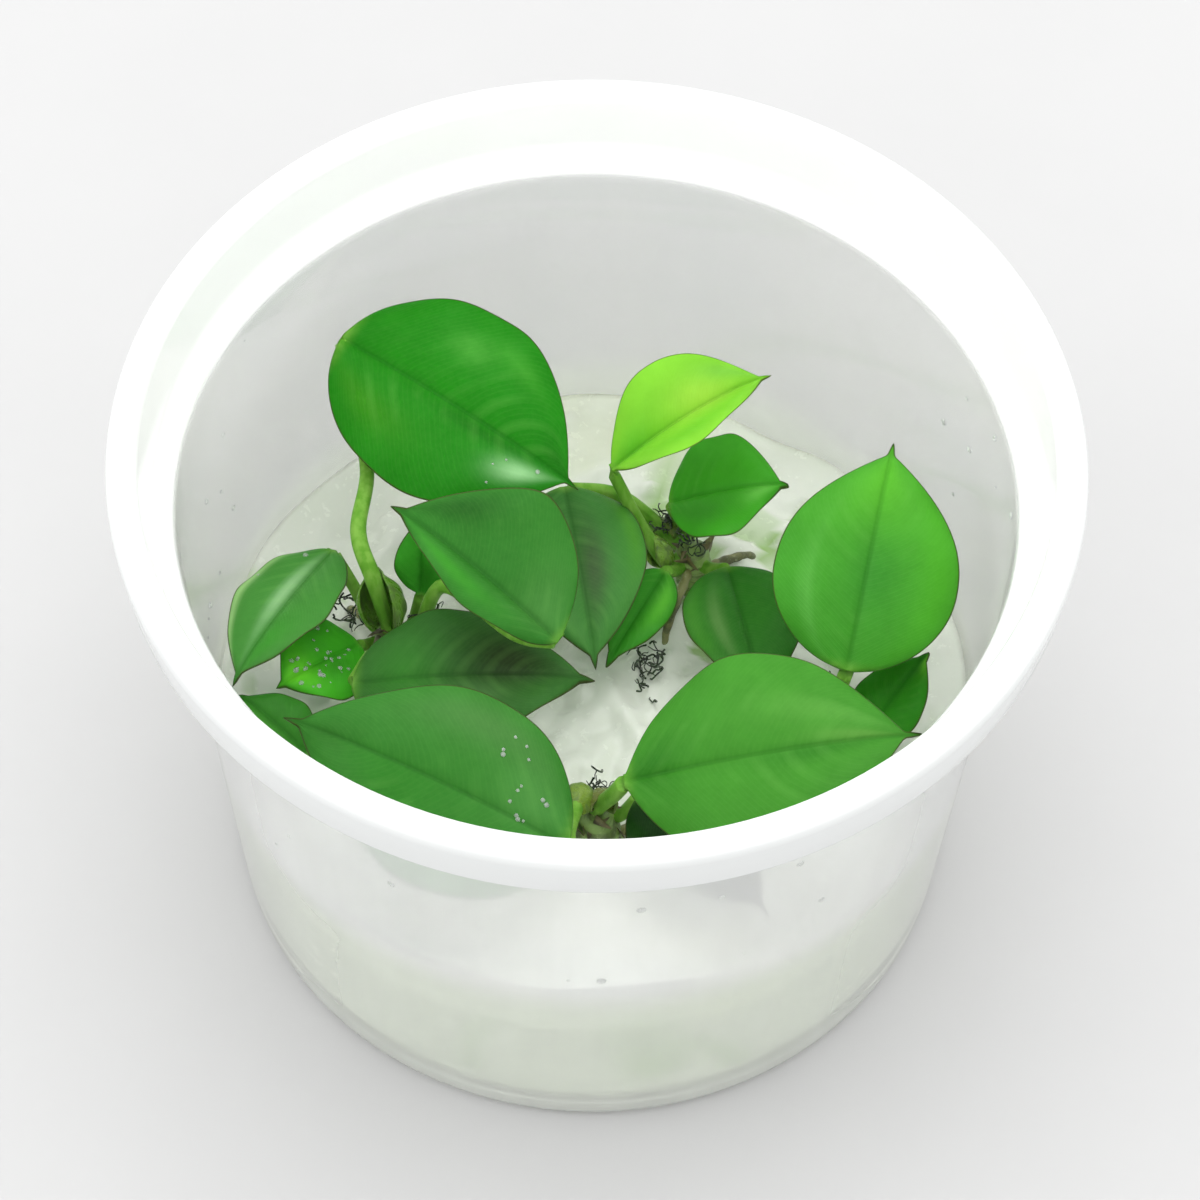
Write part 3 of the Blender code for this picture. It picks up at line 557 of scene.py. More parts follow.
def fleshy(name, colour, dark, pale, rough=0.5, buried=None):
    """Skin of a rhizome, root or fibre: rings and specks in two further colours, and a last colour
    for what is buried in the gel."""
    skin = Finish(name)
    rings = skin.noise(420.0, 4.0, 0.6, vector=skin.stretch((0.5, 0.5, 2.4)))
    specks = skin.noise(1400.0, 4.0, 0.7)
    tint = skin.blend(skin.ramp(rings, 0.42, 0.62), colour, dark)
    tint = skin.blend(skin.times(skin.ramp(specks, 0.55, 0.75), 0.6), tint, pale)
    if buried:
        deep = skin.level(skin.axes()[2], GEL_LEVEL - 5.0, GEL_LEVEL + 1.0, 0.8, 0.0)
        tint = skin.blend(deep, tint, buried)
    relief = skin.bump(rings, 0.25 * MM, 0.8, skin.bump(specks, 0.05 * MM, 0.6))
    return skin.surface(Base_Color=tint, Normal=relief,
                        Roughness=skin.ramp(specks, 0.3, 0.7, rough - 0.15, rough))


def sheath_skin():
    """Thin papery leaf sheath, see-through green with darker streaks."""
    skin = Finish("sheath_skin", IOR=1.38)
    streaks = skin.noise(500.0, 4.0, 0.6, vector=skin.stretch((2.5, 2.5, 0.35)))
    tint = skin.blend(skin.ramp(streaks, 0.40, 0.68), skin.attribute("tone", "Color"),
                      (0.13, 0.24, 0.05))
    relief = skin.bump(streaks, 0.12 * MM, 0.7)
    return skin.surface(Base_Color=tint, Transmission_Weight=0.25, Normal=relief,
                        Roughness=skin.ramp(streaks, 0.3, 0.7, 0.20, 0.40))


def water_skin():
    """Clear water: smooth, with the faintest ripple in its gloss."""
    skin = Finish("water_skin", IOR=1.33, Transmission_Weight=0.75)
    ripple = skin.noise(800.0, 2.0)
    return skin.surface(Base_Color=(0.98, 1.0, 0.98),
                        Roughness=skin.ramp(ripple, 0.3, 0.7, 0.0, 0.04))


# ---- shape helpers -------------------------------------------------------------------
def smooth_path(points, samples):
    """Points along a Catmull-Rom curve through the given points, ends included."""
    pts = [Vector(p) for p in points]
    pts = [pts[0] * 2 - pts[1]] + pts + [pts[-1] * 2 - pts[-2]]
    spans = len(pts) - 3
    path = []
    for k in range(samples + 1):
        place = min(k / samples * spans, spans - 1e-9)
        i = int(place)
        t = place - i
        p0, p1, p2, p3 = pts[i:i + 4]
        path.append(0.5 * (2 * p1 + (p2 - p0) * t + (2 * p0 - 5 * p1 + 4 * p2 - p3) * t * t
                           + (3 * p1 - p0 - 3 * p2 + p3) * t ** 3))
    return path


def tangents(path):
    last = len(path) - 1
    return [(path[min(i + 1, last)] - path[max(i - 1, 0)]).normalized() for i in range(last + 1)]


def along_list(values, fraction):
    """Read a list of evenly spread values at a fraction of its length."""
    place = fraction * (len(values) - 1)
    i = min(int(place), len(values) - 2)
    return values[i] + (values[i + 1] - values[i]) * (place - i)


def ring_mesh(name, rings, attributes=None, tones=None):
    """A closed mesh skinned over rings of equal length, in millimetres, with both ends closed."""
    count, rows = len(rings[0]), len(rings)
    points = [p for ring in rings for p in ring]
    points.append(sum(rings[0], Vector()) / count)
    points.append(sum(rings[-1], Vector()) / count)
    faces = []
    for r in range(rows - 1):
        for i in range(count):
            j = (i + 1) % count
            faces.append((r * count + i, r * count + j, (r + 1) * count + j, (r + 1) * count + i))
    for hub, row in ((rows * count, 0), (rows * count + 1, rows - 1)):
        faces += [(row * count + i, row * count + (i + 1) % count, hub) for i in range(count)]
    mesh = bpy.data.meshes.new(name)
    mesh.from_pydata([p * MM for p in points], [], faces)
    for key, values in (attributes or {}).items():
        layer = mesh.attributes.new(key, "FLOAT", "POINT")
        layer.data.foreach_set("value", [*values, values[0], values[-1]])
    if tones:
        layer = mesh.attributes.new("tone", "FLOAT_COLOR", "POINT")
        layer.data.foreach_set(
            "color", [c for tone in [*tones, tones[0], tones[-1]] for c in (*tone, 1.0)])
    return face_out(mesh)


def face_out(mesh):
    """Turn every face outward and shade smoothly."""
    bm = bmesh.new()
    bm.from_mesh(mesh)
    bmesh.ops.recalc_face_normals(bm, faces=bm.faces)
    if bm.calc_volume(signed=True) < 0:
        bmesh.ops.reverse_faces(bm, faces=bm.faces)
    bm.to_mesh(mesh)
    bm.free()
    mesh.shade_smooth()
    return mesh


def piece(name, mesh, material, slot, *nodes):
    """Place a finished mesh with its material, hide the packed parts that it stands for and let it
    ride.
    """
    made = bpy.data.objects.new(name, mesh)
    bpy.context.scene.collection.objects.link(made)
    mesh.materials.clear()
    mesh.materials.append(material)
    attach(made, BODY)
    if nodes:
        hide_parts(*nodes)
    return made


def circle(radius, height, sides):
    """Evenly spread points of a level circle round Z."""
    return [Vector((radius * math.cos(a), radius * math.sin(a), height))
            for a in (math.tau * k / sides for k in range(sides))]


def tube_rings(path, radii, sides, swell=None):
    rings = []
    side = Vector((1.0, 0.0, 0.0))
    for i, (centre, ahead) in enumerate(zip(path, tangents(path))):
        side = (side - ahead * side.dot(ahead)).normalized()
        other = ahead.cross(side)
        share = i / (len(path) - 1)
        radius = along_list(radii, share)
        rings.append([centre + (side * math.cos(a) + other * math.sin(a))
                      * radius * (swell(share, a) if swell else 1.0)
                      for a in (math.tau * k / sides for k in range(sides))])
    return rings


# ---- the cup -------------------------------------------------------------------------
def wall_radius(z):
    """Inner radius of the cup's body at height z."""
    top, foot = BODY_TOP_RADIUS - WALL, BODY_FOOT_RADIUS - WALL
    return foot + (top - foot) * (z - FLOOR_TOP) / (STEP_HEIGHT - FLOOR_TOP)


def rounded(corners, steps=4):
    """A profile of (radius, height, fillet) corners with each corner turned into a short curve."""
    line = []
    for i, (x, z, fillet) in enumerate(corners):
        here = Vector((x, z))
        if not 0 < i < len(corners) - 1 or fillet == 0:
            line.append(here)
            continue
        before, after = Vector(corners[i - 1][:2]) - here, Vector(corners[i + 1][:2]) - here
        reach = min(fillet, before.length * 0.45, after.length * 0.45)
        a, b = here + before.normalized() * reach, here + after.normalized() * reach
        for k in range(steps + 1):
            t = k / steps
            line.append(a * (1 - t) ** 2 + here * 2 * t * (1 - t) + b * t * t)
    return line


def cup_profile():
    """(radius, height, fillet) from the underside's middle, up outside, and down inside."""
    ring_in, ring_out = FOOT_RING
    land_in = RIM_RADIUS - RIM_LAND
    low = CUP_HEIGHT - SKIRT_DEPTH
    outside = [
        (1.6, FOOT_RECESS, 0.3), (2.2, FOOT_RECESS - 0.25, 0.3), (3.0, FOOT_RECESS, 0.3),
        (24.0, FOOT_RECESS, 0.4), (24.5, FOOT_RECESS - 0.3, 0.3), (25.0, FOOT_RECESS, 0.4),
        (ring_in - 0.9, FOOT_RECESS, 0.5), (ring_in, 0.0, 0.4), (ring_out, 0.0, 1.8),
        (BODY_FOOT_RADIUS - 0.05, 0.9, 1.8), (BODY_FOOT_RADIUS + 0.05, 3.0, 1.5),
        (BODY_TOP_RADIUS, STEP_HEIGHT - 1.4, 1.0), (land_in - 0.5, STEP_HEIGHT + 0.6, 1.2),
        (land_in + 0.9, CUP_HEIGHT - 1.2, 0.6), (RIM_RADIUS - 1.1, CUP_HEIGHT - 1.2, 0.5),
        (RIM_RADIUS - 1.3, low, 0.35), (RIM_RADIUS - 0.4, low, 0.35),
        (RIM_RADIUS, CUP_HEIGHT - 0.9, 0.5), (RIM_RADIUS - 0.35, CUP_HEIGHT, 0.5)]
    inside = [
        (land_in, CUP_HEIGHT, 0.5), (land_in - 0.3, CUP_HEIGHT - 0.6, 0.5),
        (land_in - 1.1, STEP_HEIGHT + 1.8, 0.8), (land_in - 2.2, STEP_HEIGHT + 0.1, 0.7),
        (BODY_TOP_RADIUS - WALL, STEP_HEIGHT - 0.2, 0.6),
        (wall_radius(7.0), 7.0, 0.5), (wall_radius(FLOOR_TOP) - 0.1, FLOOR_TOP, 2.2),
        (24.4, FLOOR_TOP, 0.3), (23.8, FLOOR_TOP + 0.15, 0.3), (23.2, FLOOR_TOP, 0.3),
        (2.0, FLOOR_TOP, 0.2)]
    return outside + inside


def lathe(name, profile, segments):
    """Turn a closed profile round Z, with a middle point at each end."""
    return ring_mesh(name, [circle(p.x, p.y, segments) for p in profile])


class PLANTLETS_OT_cup(bpy.types.Operator):
    """Build the translucent culture cup with its stepped rim"""
    bl_idname = "plantlets.cup"
    bl_label = "Culture cup"

    def execute(self, context):
        settings = context.scene.plantlet_cup
        mesh = lathe("culture_cup", rounded(cup_profile()), settings.segments)
        piece("culture_cup", mesh, cup_plastic(settings), "cup", "cup")
        return {"FINISHED"}


# ---- the gel -------------------------------------------------------------------------
BURIED = []
BURIED_RHIZOME, BURIED_ROOT = 2.6, 0.9
SHOW_DEPTH = 14.0
GEL_GAP = 0.25
GEL_SEGMENTS = 144
GEL_TOP_RINGS = 52
GEL_SIDE_RINGS = 15
GEL_SIDE_FOOT = 4.8
GEL_BRINK = 24.0


def gel_height(x, y):
    """Height of the gel's uneven top, which climbs a little at the wall."""
    lumps = 0.6 * math.sin(0.21 * x + 0.5) * math.cos(0.17 * y)
    lumps += 0.4 * math.sin(0.33 * x - 0.27 * y + 1.0)
    edge = max(0.0, (math.hypot(x, y) - 36.0) / 4.0)
    return GEL_LEVEL - GEL_TILT * y + lumps + 0.8 * edge * edge


def plants_behind(point):
    """How strongly a buried rhizome or root shows at a point of the gel's skin, 0 to 1."""
    if point.z > GEL_LEVEL - 1.0 and math.hypot(point.x, point.y) < 38.0:
        return 0.0
    shown = 0.0
    for path, radius in BURIED:
        for centre in path:
            flat = Vector((point.x - centre.x, point.y - centre.y, 0.0))
            depth = abs(flat.dot(Vector((point.x, point.y, 0.0)).normalized()))
            aside = math.hypot(max(0.0, flat.length ** 2 - depth ** 2) ** 0.5, point.z - centre.z)
            if depth < SHOW_DEPTH:
                shown = max(shown, math.exp(-(aside / (radius * 1.3)) ** 4 - (depth / 13.0) ** 2))
    return shown * 0.9


def gel_mesh(lump_height):
    """The gel as one lump with a granular, broken-up top."""
    draw = random.Random(7)
    waves = [(draw.uniform(0.5, 2.6), draw.uniform(0, math.tau), draw.uniform(0, math.tau))
             for _ in range(26)]

    def grain(x, y):
        total = sum(
            math.sin((x * math.cos(turn) + y * math.sin(turn)) * pitch + phase) / pitch ** 0.6
            for pitch, turn, phase in waves)
        return lump_height / MM * 0.34 * total

    rings = [circle(radius, height, GEL_SEGMENTS) for radius, height in (
        (20.0, FLOOR_TOP + GEL_GAP), (37.6, FLOOR_TOP + GEL_GAP), (wall_radius(3.2) - 0.9, 3.0),
        (wall_radius(4.6) - GEL_GAP, GEL_SIDE_FOOT))]
    angles = [math.tau * k / GEL_SEGMENTS for k in range(GEL_SEGMENTS)]
    for share in [k / (GEL_SIDE_RINGS + 1) for k in range(1, GEL_SIDE_RINGS + 1)]:
        ring = []
        for a in angles:
            outer = wall_radius(GEL_BRINK)
            brink = gel_height(outer * math.cos(a), outer * math.sin(a))
            height = GEL_SIDE_FOOT + (brink - GEL_SIDE_FOOT) * share
            radius = wall_radius(height) - GEL_GAP
            ring.append(Vector((radius * math.cos(a), radius * math.sin(a), height)))
        rings.append(ring)
    for share in [1.0 - 0.985 * (k / GEL_TOP_RINGS) ** 1.05 for k in range(GEL_TOP_RINGS + 1)]:
        ring = []
        for a in angles:
            outer = wall_radius(GEL_BRINK) - GEL_GAP - 0.1
            outer = wall_radius(gel_height(outer * math.cos(a), outer * math.sin(a))) - GEL_GAP - 0.1
            x, y = share * outer * math.cos(a), share * outer * math.sin(a)
            ring.append(Vector((x, y, gel_height(x, y) + grain(x, y) * min(1.0, (1 - share) * 12))))
        rings.append(ring)
    near = [plants_behind(p) for ring in rings for p in ring]
    return ring_mesh("nutrient_gel", rings, {"plants": near})


class PLANTLETS_OT_gel(bpy.types.Operator):
    """Build the lump of pale nutrient gel"""
    bl_idname = "plantlets.gel"
    bl_label = "Nutrient gel"

    def execute(self, context):
        settings = context.scene.plantlet_gel
        BURIED[:] = [(smooth_path([p for p, _ in stations], 24), BURIED_RHIZOME)
                     for stations in RHIZOMES.values()]
        BURIED.extend((smooth_path(root_points(*root), 24), BURIED_ROOT) for root in ROOTS.values())
        piece("nutrient_gel", gel_mesh(settings.lumps), culture_gel(settings), "gel", "gel")
        return {"FINISHED"}


# ---- leaves --------------------------------------------------------------------------
HALF_ACROSS = (0, 0.02, 0.045, 0.08, 0.13, 0.19, 0.26, 0.34, 0.42, 0.51, 0.60, 0.69, 0.77, 0.84,
               0.90, 0.945, 0.975, 0.992, 1.0)
BLADE_ROWS = 76
STALK_ROWS = 10
APICULE = 0.045
PATCH_SOFTNESS = 1.3
SKIN_GAP = 0.25
NECK_SHARE = 0.12
GROOVE = 0.12


def half_width(t, widest, taper, tip_power):
    """Half-width of a blade from base (0) to tip (1), as a share of the greatest."""
    if t < widest:
        return max(0.0, 1 - ((widest - t) / widest) ** 2) ** taper
    return max(0.0, 1 - ((t - widest) / (1 - widest)) ** tip_power)


def blade_axes(leaf):
    """Base point, length, and the unit vectors along, left of and above the midrib."""
    base, tip = Vector(leaf["base"]), Vector(leaf["tip"])
    ahead = (tip - base).normalized()
    up = Vector((0, 0, 1))
    above = (up - ahead * up.dot(ahead)).normalized()
    left = above.cross(ahead)
    turn = Matrix.Rotation(math.radians(leaf["roll"]), 3, ahead)
    return base, (tip - base).length, ahead, turn @ left, turn @ above


def stalk_start(leaf):
    """Where a stalk begins: on the rhizome's head, or beside it on the side given in degrees."""
    head, radius = RHIZOMES[leaf["on"]][-1]
    if "top" in leaf:
        return Vector(head) + Vector((*leaf["top"], STALK_LIFT))
    first = leaf["via"][0] if leaf["via"] else leaf["base"]
    facing = math.atan2(first[1] - head[1], first[0] - head[0])
    if "side" in leaf:
        facing = math.radians(leaf["side"])
    reach = radius + SKIN_GAP + leaf["stalk"][0]
    return Vector(head) + Vector((reach * math.cos(facing), reach * math.sin(facing), -STALK_DROP))


def stalk_path(leaf):
    """The stalk's smooth line, which starts a little inside the rhizome."""
    start = stalk_start(leaf)
    inner = Vector(RHIZOMES[leaf["on"]][-1][0]) - Vector((0, 0, STALK_DROP))
    foot = start.lerp(inner, 0.75)
    points = [foot, start, *leaf["via"], leaf["base"]]
    return smooth_path(points, STALK_ROWS * (len(points) - 1))


def blade_tone_sheen_shadow(leaf, t, v):
    """The blade's own colour with its soft patches of lighter and darker tone, painted sheen and
    painted shadow.
    """
    tone = np.array(srgb(leaf["tone"]))
    for at, side, reach, spread, colour, strength in leaf["tone_sheen_shadow_patches"]:
        off = ((t - at) / reach) ** 2 + ((v - side) / spread) ** 2
        share = strength * math.exp(-off * PATCH_SOFTNESS)
        tone = tone * (1 - share) + np.array(srgb(colour)) * share
    return tuple(tone)


def leaf_mesh(name, leaf, settings):
    """A blade with midrib, arching veins and wavy margin, in one piece with its stalk."""
    draw = random.Random(name)
    base, length, ahead, left, above = blade_axes(leaf)
    path = stalk_path(leaf)
    outline = (leaf.get("widest", 0.42), leaf.get("taper", 0.55), leaf.get("tip_power", 1.9))
    lean, fold = leaf.get("lean", 0.0), math.radians(leaf["fold"])
    neck = leaf["stalk"][-1]
    thick_half = settings.thickness / MM / 2
    relief = settings.vein_relief / MM
    wave = settings.margin_wave / MM * min(1.0, leaf["width"] / 16)
    turns = draw.uniform(2.2, 3.4)
    phase, other = draw.uniform(0, math.tau), draw.uniform(0, math.tau)
    top = [*reversed(HALF_ACROSS), *(-v for v in HALF_ACROSS[1:])]
    ring_across = [(v, 1) for v in top] + [(v, -1) for v in reversed(top[1:-1])]
    rings, tones, marks = [], [], {"across": [], "along": [], "half_mm": [], "upper": []}

    def note(v, t, half, side, tone):
        for key, value in zip(marks, (v, t, half, 0.5 + 0.5 * side)):
            marks[key].append(value)
        tones.append(tone)

    ways = tangents(path)
    for i, centre in enumerate(path[:-1]):
        way, share = ways[i], i / (len(path) - 1)
        side = (left - way * left.dot(way)).normalized()
        over = way.cross(side)
        radius = along_list([leaf["stalk"][0], *leaf["stalk"]], share)
        ring = []
        for v, face in ring_across:
            rise = math.sqrt(max(0.0, 1 - v * v))
            dent = GROOVE * radius * math.exp(-(v / 0.35) ** 2) if face > 0 else 0.0
            ring.append(centre + side * v * radius - over * face * (rise * radius - dent))
            note(v, share - 1.0, radius, face, srgb(leaf["tone"]))
        rings.append(ring)
    for row in range(BLADE_ROWS + 1):
        s = row / BLADE_ROWS
        t = 0.55 * s + 0.45 * (0.5 - 0.5 * math.cos(math.pi * s))
        body = half_width(min(t / (1 - APICULE), 1.0), *outline) * leaf["width"] / 2
        point = 0.62 * ((1 - t) / 0.10) ** 0.8 + 0.05 if t > 0.9 else 0.0
        spread = max(body, point, neck if t < 0.5 else 0.0)
        rise = leaf["arch"] * length * 4 * t * (1 - t) - 0.5 * max(0.0, (t - 0.8) / 0.2) ** 2
        spine = base + ahead * length * t + above * rise
        root = max(0.0, 1 - t / NECK_SHARE)
        thick = thick_half + (neck * 0.8 - thick_half) * root * root
        thick *= 1.0 if t < 0.97 else max(0.3, (1 - t) / 0.03)
        ring = []
        for v, face in ring_across:
            size = abs(v)
            hand = 1 if v > 0 else -1
            reach = v * spread * (1 + lean * hand)
            far = abs(reach)
            vein = math.sin(math.tau * SIDE_VEINS * (t - VEIN_SWEEP * size ** 1.3 + 0.02 * hand))
            swell = 4 * size * (1 - size)
            lift = far * math.sin(fold) + 0.05 * spread * swell - 0.06 * spread * size ** 3
            start = phase if v > 0 else other
            lift += wave * size ** 3 * math.sin(turns * math.tau * t + start) * (1 - root)
            lift += relief * vein * swell * (1 - root)
            flat = thick * (1 - size ** 6) ** 0.5 * (1 - 0.35 * size)
            rib = math.exp(-(far / (0.30 + 0.25 * (1 - t))) ** 2) * (1 - t) ** 0.4
            lift += face * flat
            lift += -0.20 * rib if face > 0 else -0.45 * rib * (1 - root)
            ring.append(spine + left * reach * math.cos(fold) + above * lift)
            note(v, t, spread, face, blade_tone_sheen_shadow(leaf, t, v))
        rings.append(ring)
    return ring_mesh(name, rings, marks, tones)


class PLANTLETS_OT_leaves(bpy.types.Operator):
    """Build every leaf, blade and stalk in one piece"""
    bl_idname = "plantlets.leaves"
    bl_label = "Leaves"

    def execute(self, context):
        settings = context.scene.plantlet_leaf
        skin = leaf_skin(settings)
        for name, leaf in LEAVES.items():
            slot = "leaf_young" if name == "leaf_young" else "leaf"
            piece("grown_" + name, leaf_mesh("grown_" + name, leaf, settings), skin, slot, name)
        return {"FINISHED"}


# ---- rhizomes and roots ----------------------------------------------------------------
def rhizome_at(name, height):
    """Centre and radius of a rhizome where it passes a height."""
    path = RHIZOMES[name]
    for (low, r_low), (high, r_high) in zip(path, path[1:]):
        if height <= high[2]:
            break
    share = (height - low[2]) / (high[2] - low[2])
    return Vector(low).lerp(Vector(high), share), r_low + (r_high - r_low) * share


def root_points(rhizome, height, via):
    """A root's points, from inside its rhizome's skin."""
    centre, radius = rhizome_at(rhizome, height)
    way = Vector((via[0][0] - centre.x, via[0][1] - centre.y, 0.0)).normalized()
    return [centre + way * radius * 0.5, centre + way * (radius * ROOT_SKIN + ROOT_RADIUS), *via]


class PLANTLETS_OT_rhizomes(bpy.types.Operator):
    """Build the four short rhizomes with their leaf-scar rings and domed heads"""
    bl_idname = "plantlets.rhizomes"
    bl_label = "Rhizomes"

    def execute(self, context):
        settings = context.scene.plantlet_foot
        skin = fleshy("rhizome_skin", tuple(settings.rhizome), (0.10, 0.15, 0.04),
                      (0.46, 0.56, 0.24), buried=(0.42, 0.62, 0.18))
        for name, stations in RHIZOMES.items():
            phase = random.Random(name).uniform(0, math.tau)

            def swell(share, angle):
                dome = math.sqrt(max(0.02, 1 - max(0.0, (share - 0.86) / 0.14) ** 2))
                rings = 0.07 * math.sin(share * 62) + 0.05 * math.sin(3 * angle + share * 9 + phase)
                return dome * (1 + rings)

            path = smooth_path([p for p, _ in stations], 26 * (len(stations) - 1))
            rings = tube_rings(path, [r for _, r in stations], 32, swell)
            piece("grown_" + name, ring_mesh("grown_" + name, rings), skin, "rhizome", name)
        return {"FINISHED"}


class PLANTLETS_OT_roots(bpy.types.Operator):
    """Build the roots that run down into the gel"""
    bl_idname = "plantlets.roots"
    bl_label = "Roots"

    def execute(self, context):
        settings = context.scene.plantlet_foot
        skin = fleshy("root_skin", tuple(settings.root), (0.09, 0.10, 0.035), (0.55, 0.60, 0.38),
                      0.45, (0.50, 0.62, 0.30))
        for name, (rhizome, height, via) in ROOTS.items():
            phase = random.Random(name).uniform(0, math.tau)

            def swell(share, angle):
                end = math.sqrt(max(0.03, 1 - max(0.0, (share - 0.95) / 0.05) ** 2))
                return end * (1 + 0.08 * math.sin(share * 70 + phase)
                              + 0.05 * math.sin(2 * angle + share * 23))

            path = smooth_path(root_points(rhizome, height, via), 20 * (len(via) + 1))
            radii = [ROOT_RADIUS * share for share in (1.0, 1.0, 0.8, 0.5)]
            rings = tube_rings(path, radii, 14, swell)
            piece("grown_" + name, ring_mesh("grown_" + name, rings), skin, "root", name)
        return {"FINISHED"}


# ---- sheaths and scales ------------------------------------------------------------------
SHEATH_ROWS, SHEATH_COLUMNS = 18, 22
SHEATH_THICKNESS = 0.22
SCALE_DENSITY = 420000.0


def sheath_mesh(name, leaf, length, radius, opening, tone):
    """A thin sheath wrapped round the foot of a stalk, open on one side and drawn to a point."""
    path, start = stalk_path(leaf), stalk_start(leaf)
    first = min(range(len(path)), key=lambda i: (path[i] - start).length)
    walked, line = 0.0, [path[first]]
    for a, b in zip(path[first:], path[first + 1:]):
        walked += (b - a).length
        line.append(b)
        if walked > length:
            break
    line = smooth_path(line[::3] if len(line) > 8 else line, SHEATH_ROWS)
    seam = random.Random(name).uniform(-0.6, 0.6) + math.radians(60)
    ways, side = tangents(line), Vector((1.0, 0.0, 0.0))
    rings = []
    for i, centre in enumerate(line):
        s, way = i / SHEATH_ROWS, ways[i]
        side = (side - way * side.dot(way)).normalized()
        other = way.cross(side)
        half_arc = math.radians(180 - opening / 2) * (1 - s ** 3) ** 0.8 + 0.05
        grow = radius * (0.72 + 0.5 * math.sin(math.pi * min(1.0, s * 1.25)) - 0.25 * s)
        ring = []
        for layer, order in ((1, range(SHEATH_COLUMNS + 1)), (-1, range(SHEATH_COLUMNS, -1, -1))):
            for k in order:
                a = seam + half_arc * (2 * k / SHEATH_COLUMNS - 1)
                reach = grow * (1 + 0.03 * math.sin(9 * a + 5 * s)) + layer * SHEATH_THICKNESS / 2
                ring.append(centre + (side * math.cos(a) + other * math.sin(a)) * reach)
        rings.append(ring)
    return ring_mesh(name, rings, tones=[srgb(tone)] * (len(rings) * len(rings[0])))


def scale_mesh():
    """One small pointed bud scale, 1 mm wide and 2 mm long, that stands on its foot."""
    rings = []
    for s in [i / 6 for i in range(7)]:
        wide = 0.5 * (1 - s) ** 0.7 + 0.03
        rings.append([Vector((wide * math.cos(a), 0.10 * math.sin(a) * (1 - 0.6 * s) + 0.35 * s * s
                              - 0.12 * (wide * math.cos(a)) ** 2, 2.0 * s))
                      for a in (math.tau * k / 8 for k in range(8))])
    return ring_mesh("bud_scale", rings)


# ---- node trees that repeat or follow ------------------------------------------------------
FIBRE_POINTS = 22
FIBRE_END = 0.35
FIBRE_SIDES = 6
FIBRE_STEPS = 8


def new_tree(name, inputs, kinds):
    """A tree with its named inputs, and its nodes by name, which end in a finish."""
    tree = bpy.data.node_groups.new(name, "GeometryNodeTree")
    tree.interface.new_socket("Geometry", in_out="INPUT", socket_type="NodeSocketGeometry")
    for label, kind in inputs.items():
        tree.interface.new_socket(label, in_out="INPUT", socket_type="NodeSocket" + kind)
    tree.interface.new_socket("Geometry", in_out="OUTPUT", socket_type="NodeSocketGeometry")
    kinds = {"given": "NodeGroupInput", "result": "NodeGroupOutput", **kinds,
             "real": "GeometryNodeRealizeInstances", "finish": "GeometryNodeSetMaterial"}
    return tree, {label: tree.nodes.new(kind) for label, kind in kinds.items()}


def wire(tree, nodes, *links):
    """Join (node, output, node, input) sockets, and then the tree's end."""
    for source, output, target, socket in (*links, ("real", 0, "finish", "Geometry"),
                                           ("given", "Finish", "finish", "Material"),
                                           ("finish", 0, "result", 0)):
        tree.links.new(nodes[source].outputs[output], nodes[target].inputs[socket])


def fibre_tree():
    """Turns loose edges into round fibres: inputs Radius, Sides and Finish."""
    tree, nodes = new_tree(
        "fibres_along_edges", {"Radius": "Float", "Sides": "Int", "Finish": "Material"},
        {"curve": "GeometryNodeMeshToCurve", "spline": "GeometryNodeCurveSplineType",
         "again": "GeometryNodeResampleCurve", "sweep": "GeometryNodeCurveToMesh",
         "circle": "GeometryNodeCurvePrimitiveCircle", "taper": "GeometryNodeSetCurveRadius",
         "place": "GeometryNodeSplineParameter", "shape": "ShaderNodeFloatCurve"})
    nodes["spline"].spline_type = "CATMULL_ROM"
    nodes["again"].inputs["Count"].default_value = FIBRE_POINTS
    points = nodes["shape"].mapping.curves[0].points
    points[0].location, points[1].location = (0.0, 1.0), (1.0, FIBRE_END)
    nodes["sweep"].inputs["Fill Caps"].default_value = True
    wire(tree, nodes, ("given", "Geometry", "curve", 0), ("curve", 0, "spline", "Curve"),
         ("spline", 0, "again", "Curve"), ("place", "Factor", "shape", "Value"),
         ("again", 0, "taper", "Curve"), ("shape", 0, "taper", "Radius"),
         ("taper", 0, "sweep", "Curve"), ("given", "Radius", "circle", "Radius"),
         ("given", "Sides", "circle", "Resolution"),
         ("circle", 0, "sweep", "Profile Curve"), ("shape", 0, "sweep", "Scale"),
         ("sweep", 0, "real", 0))
    return tree


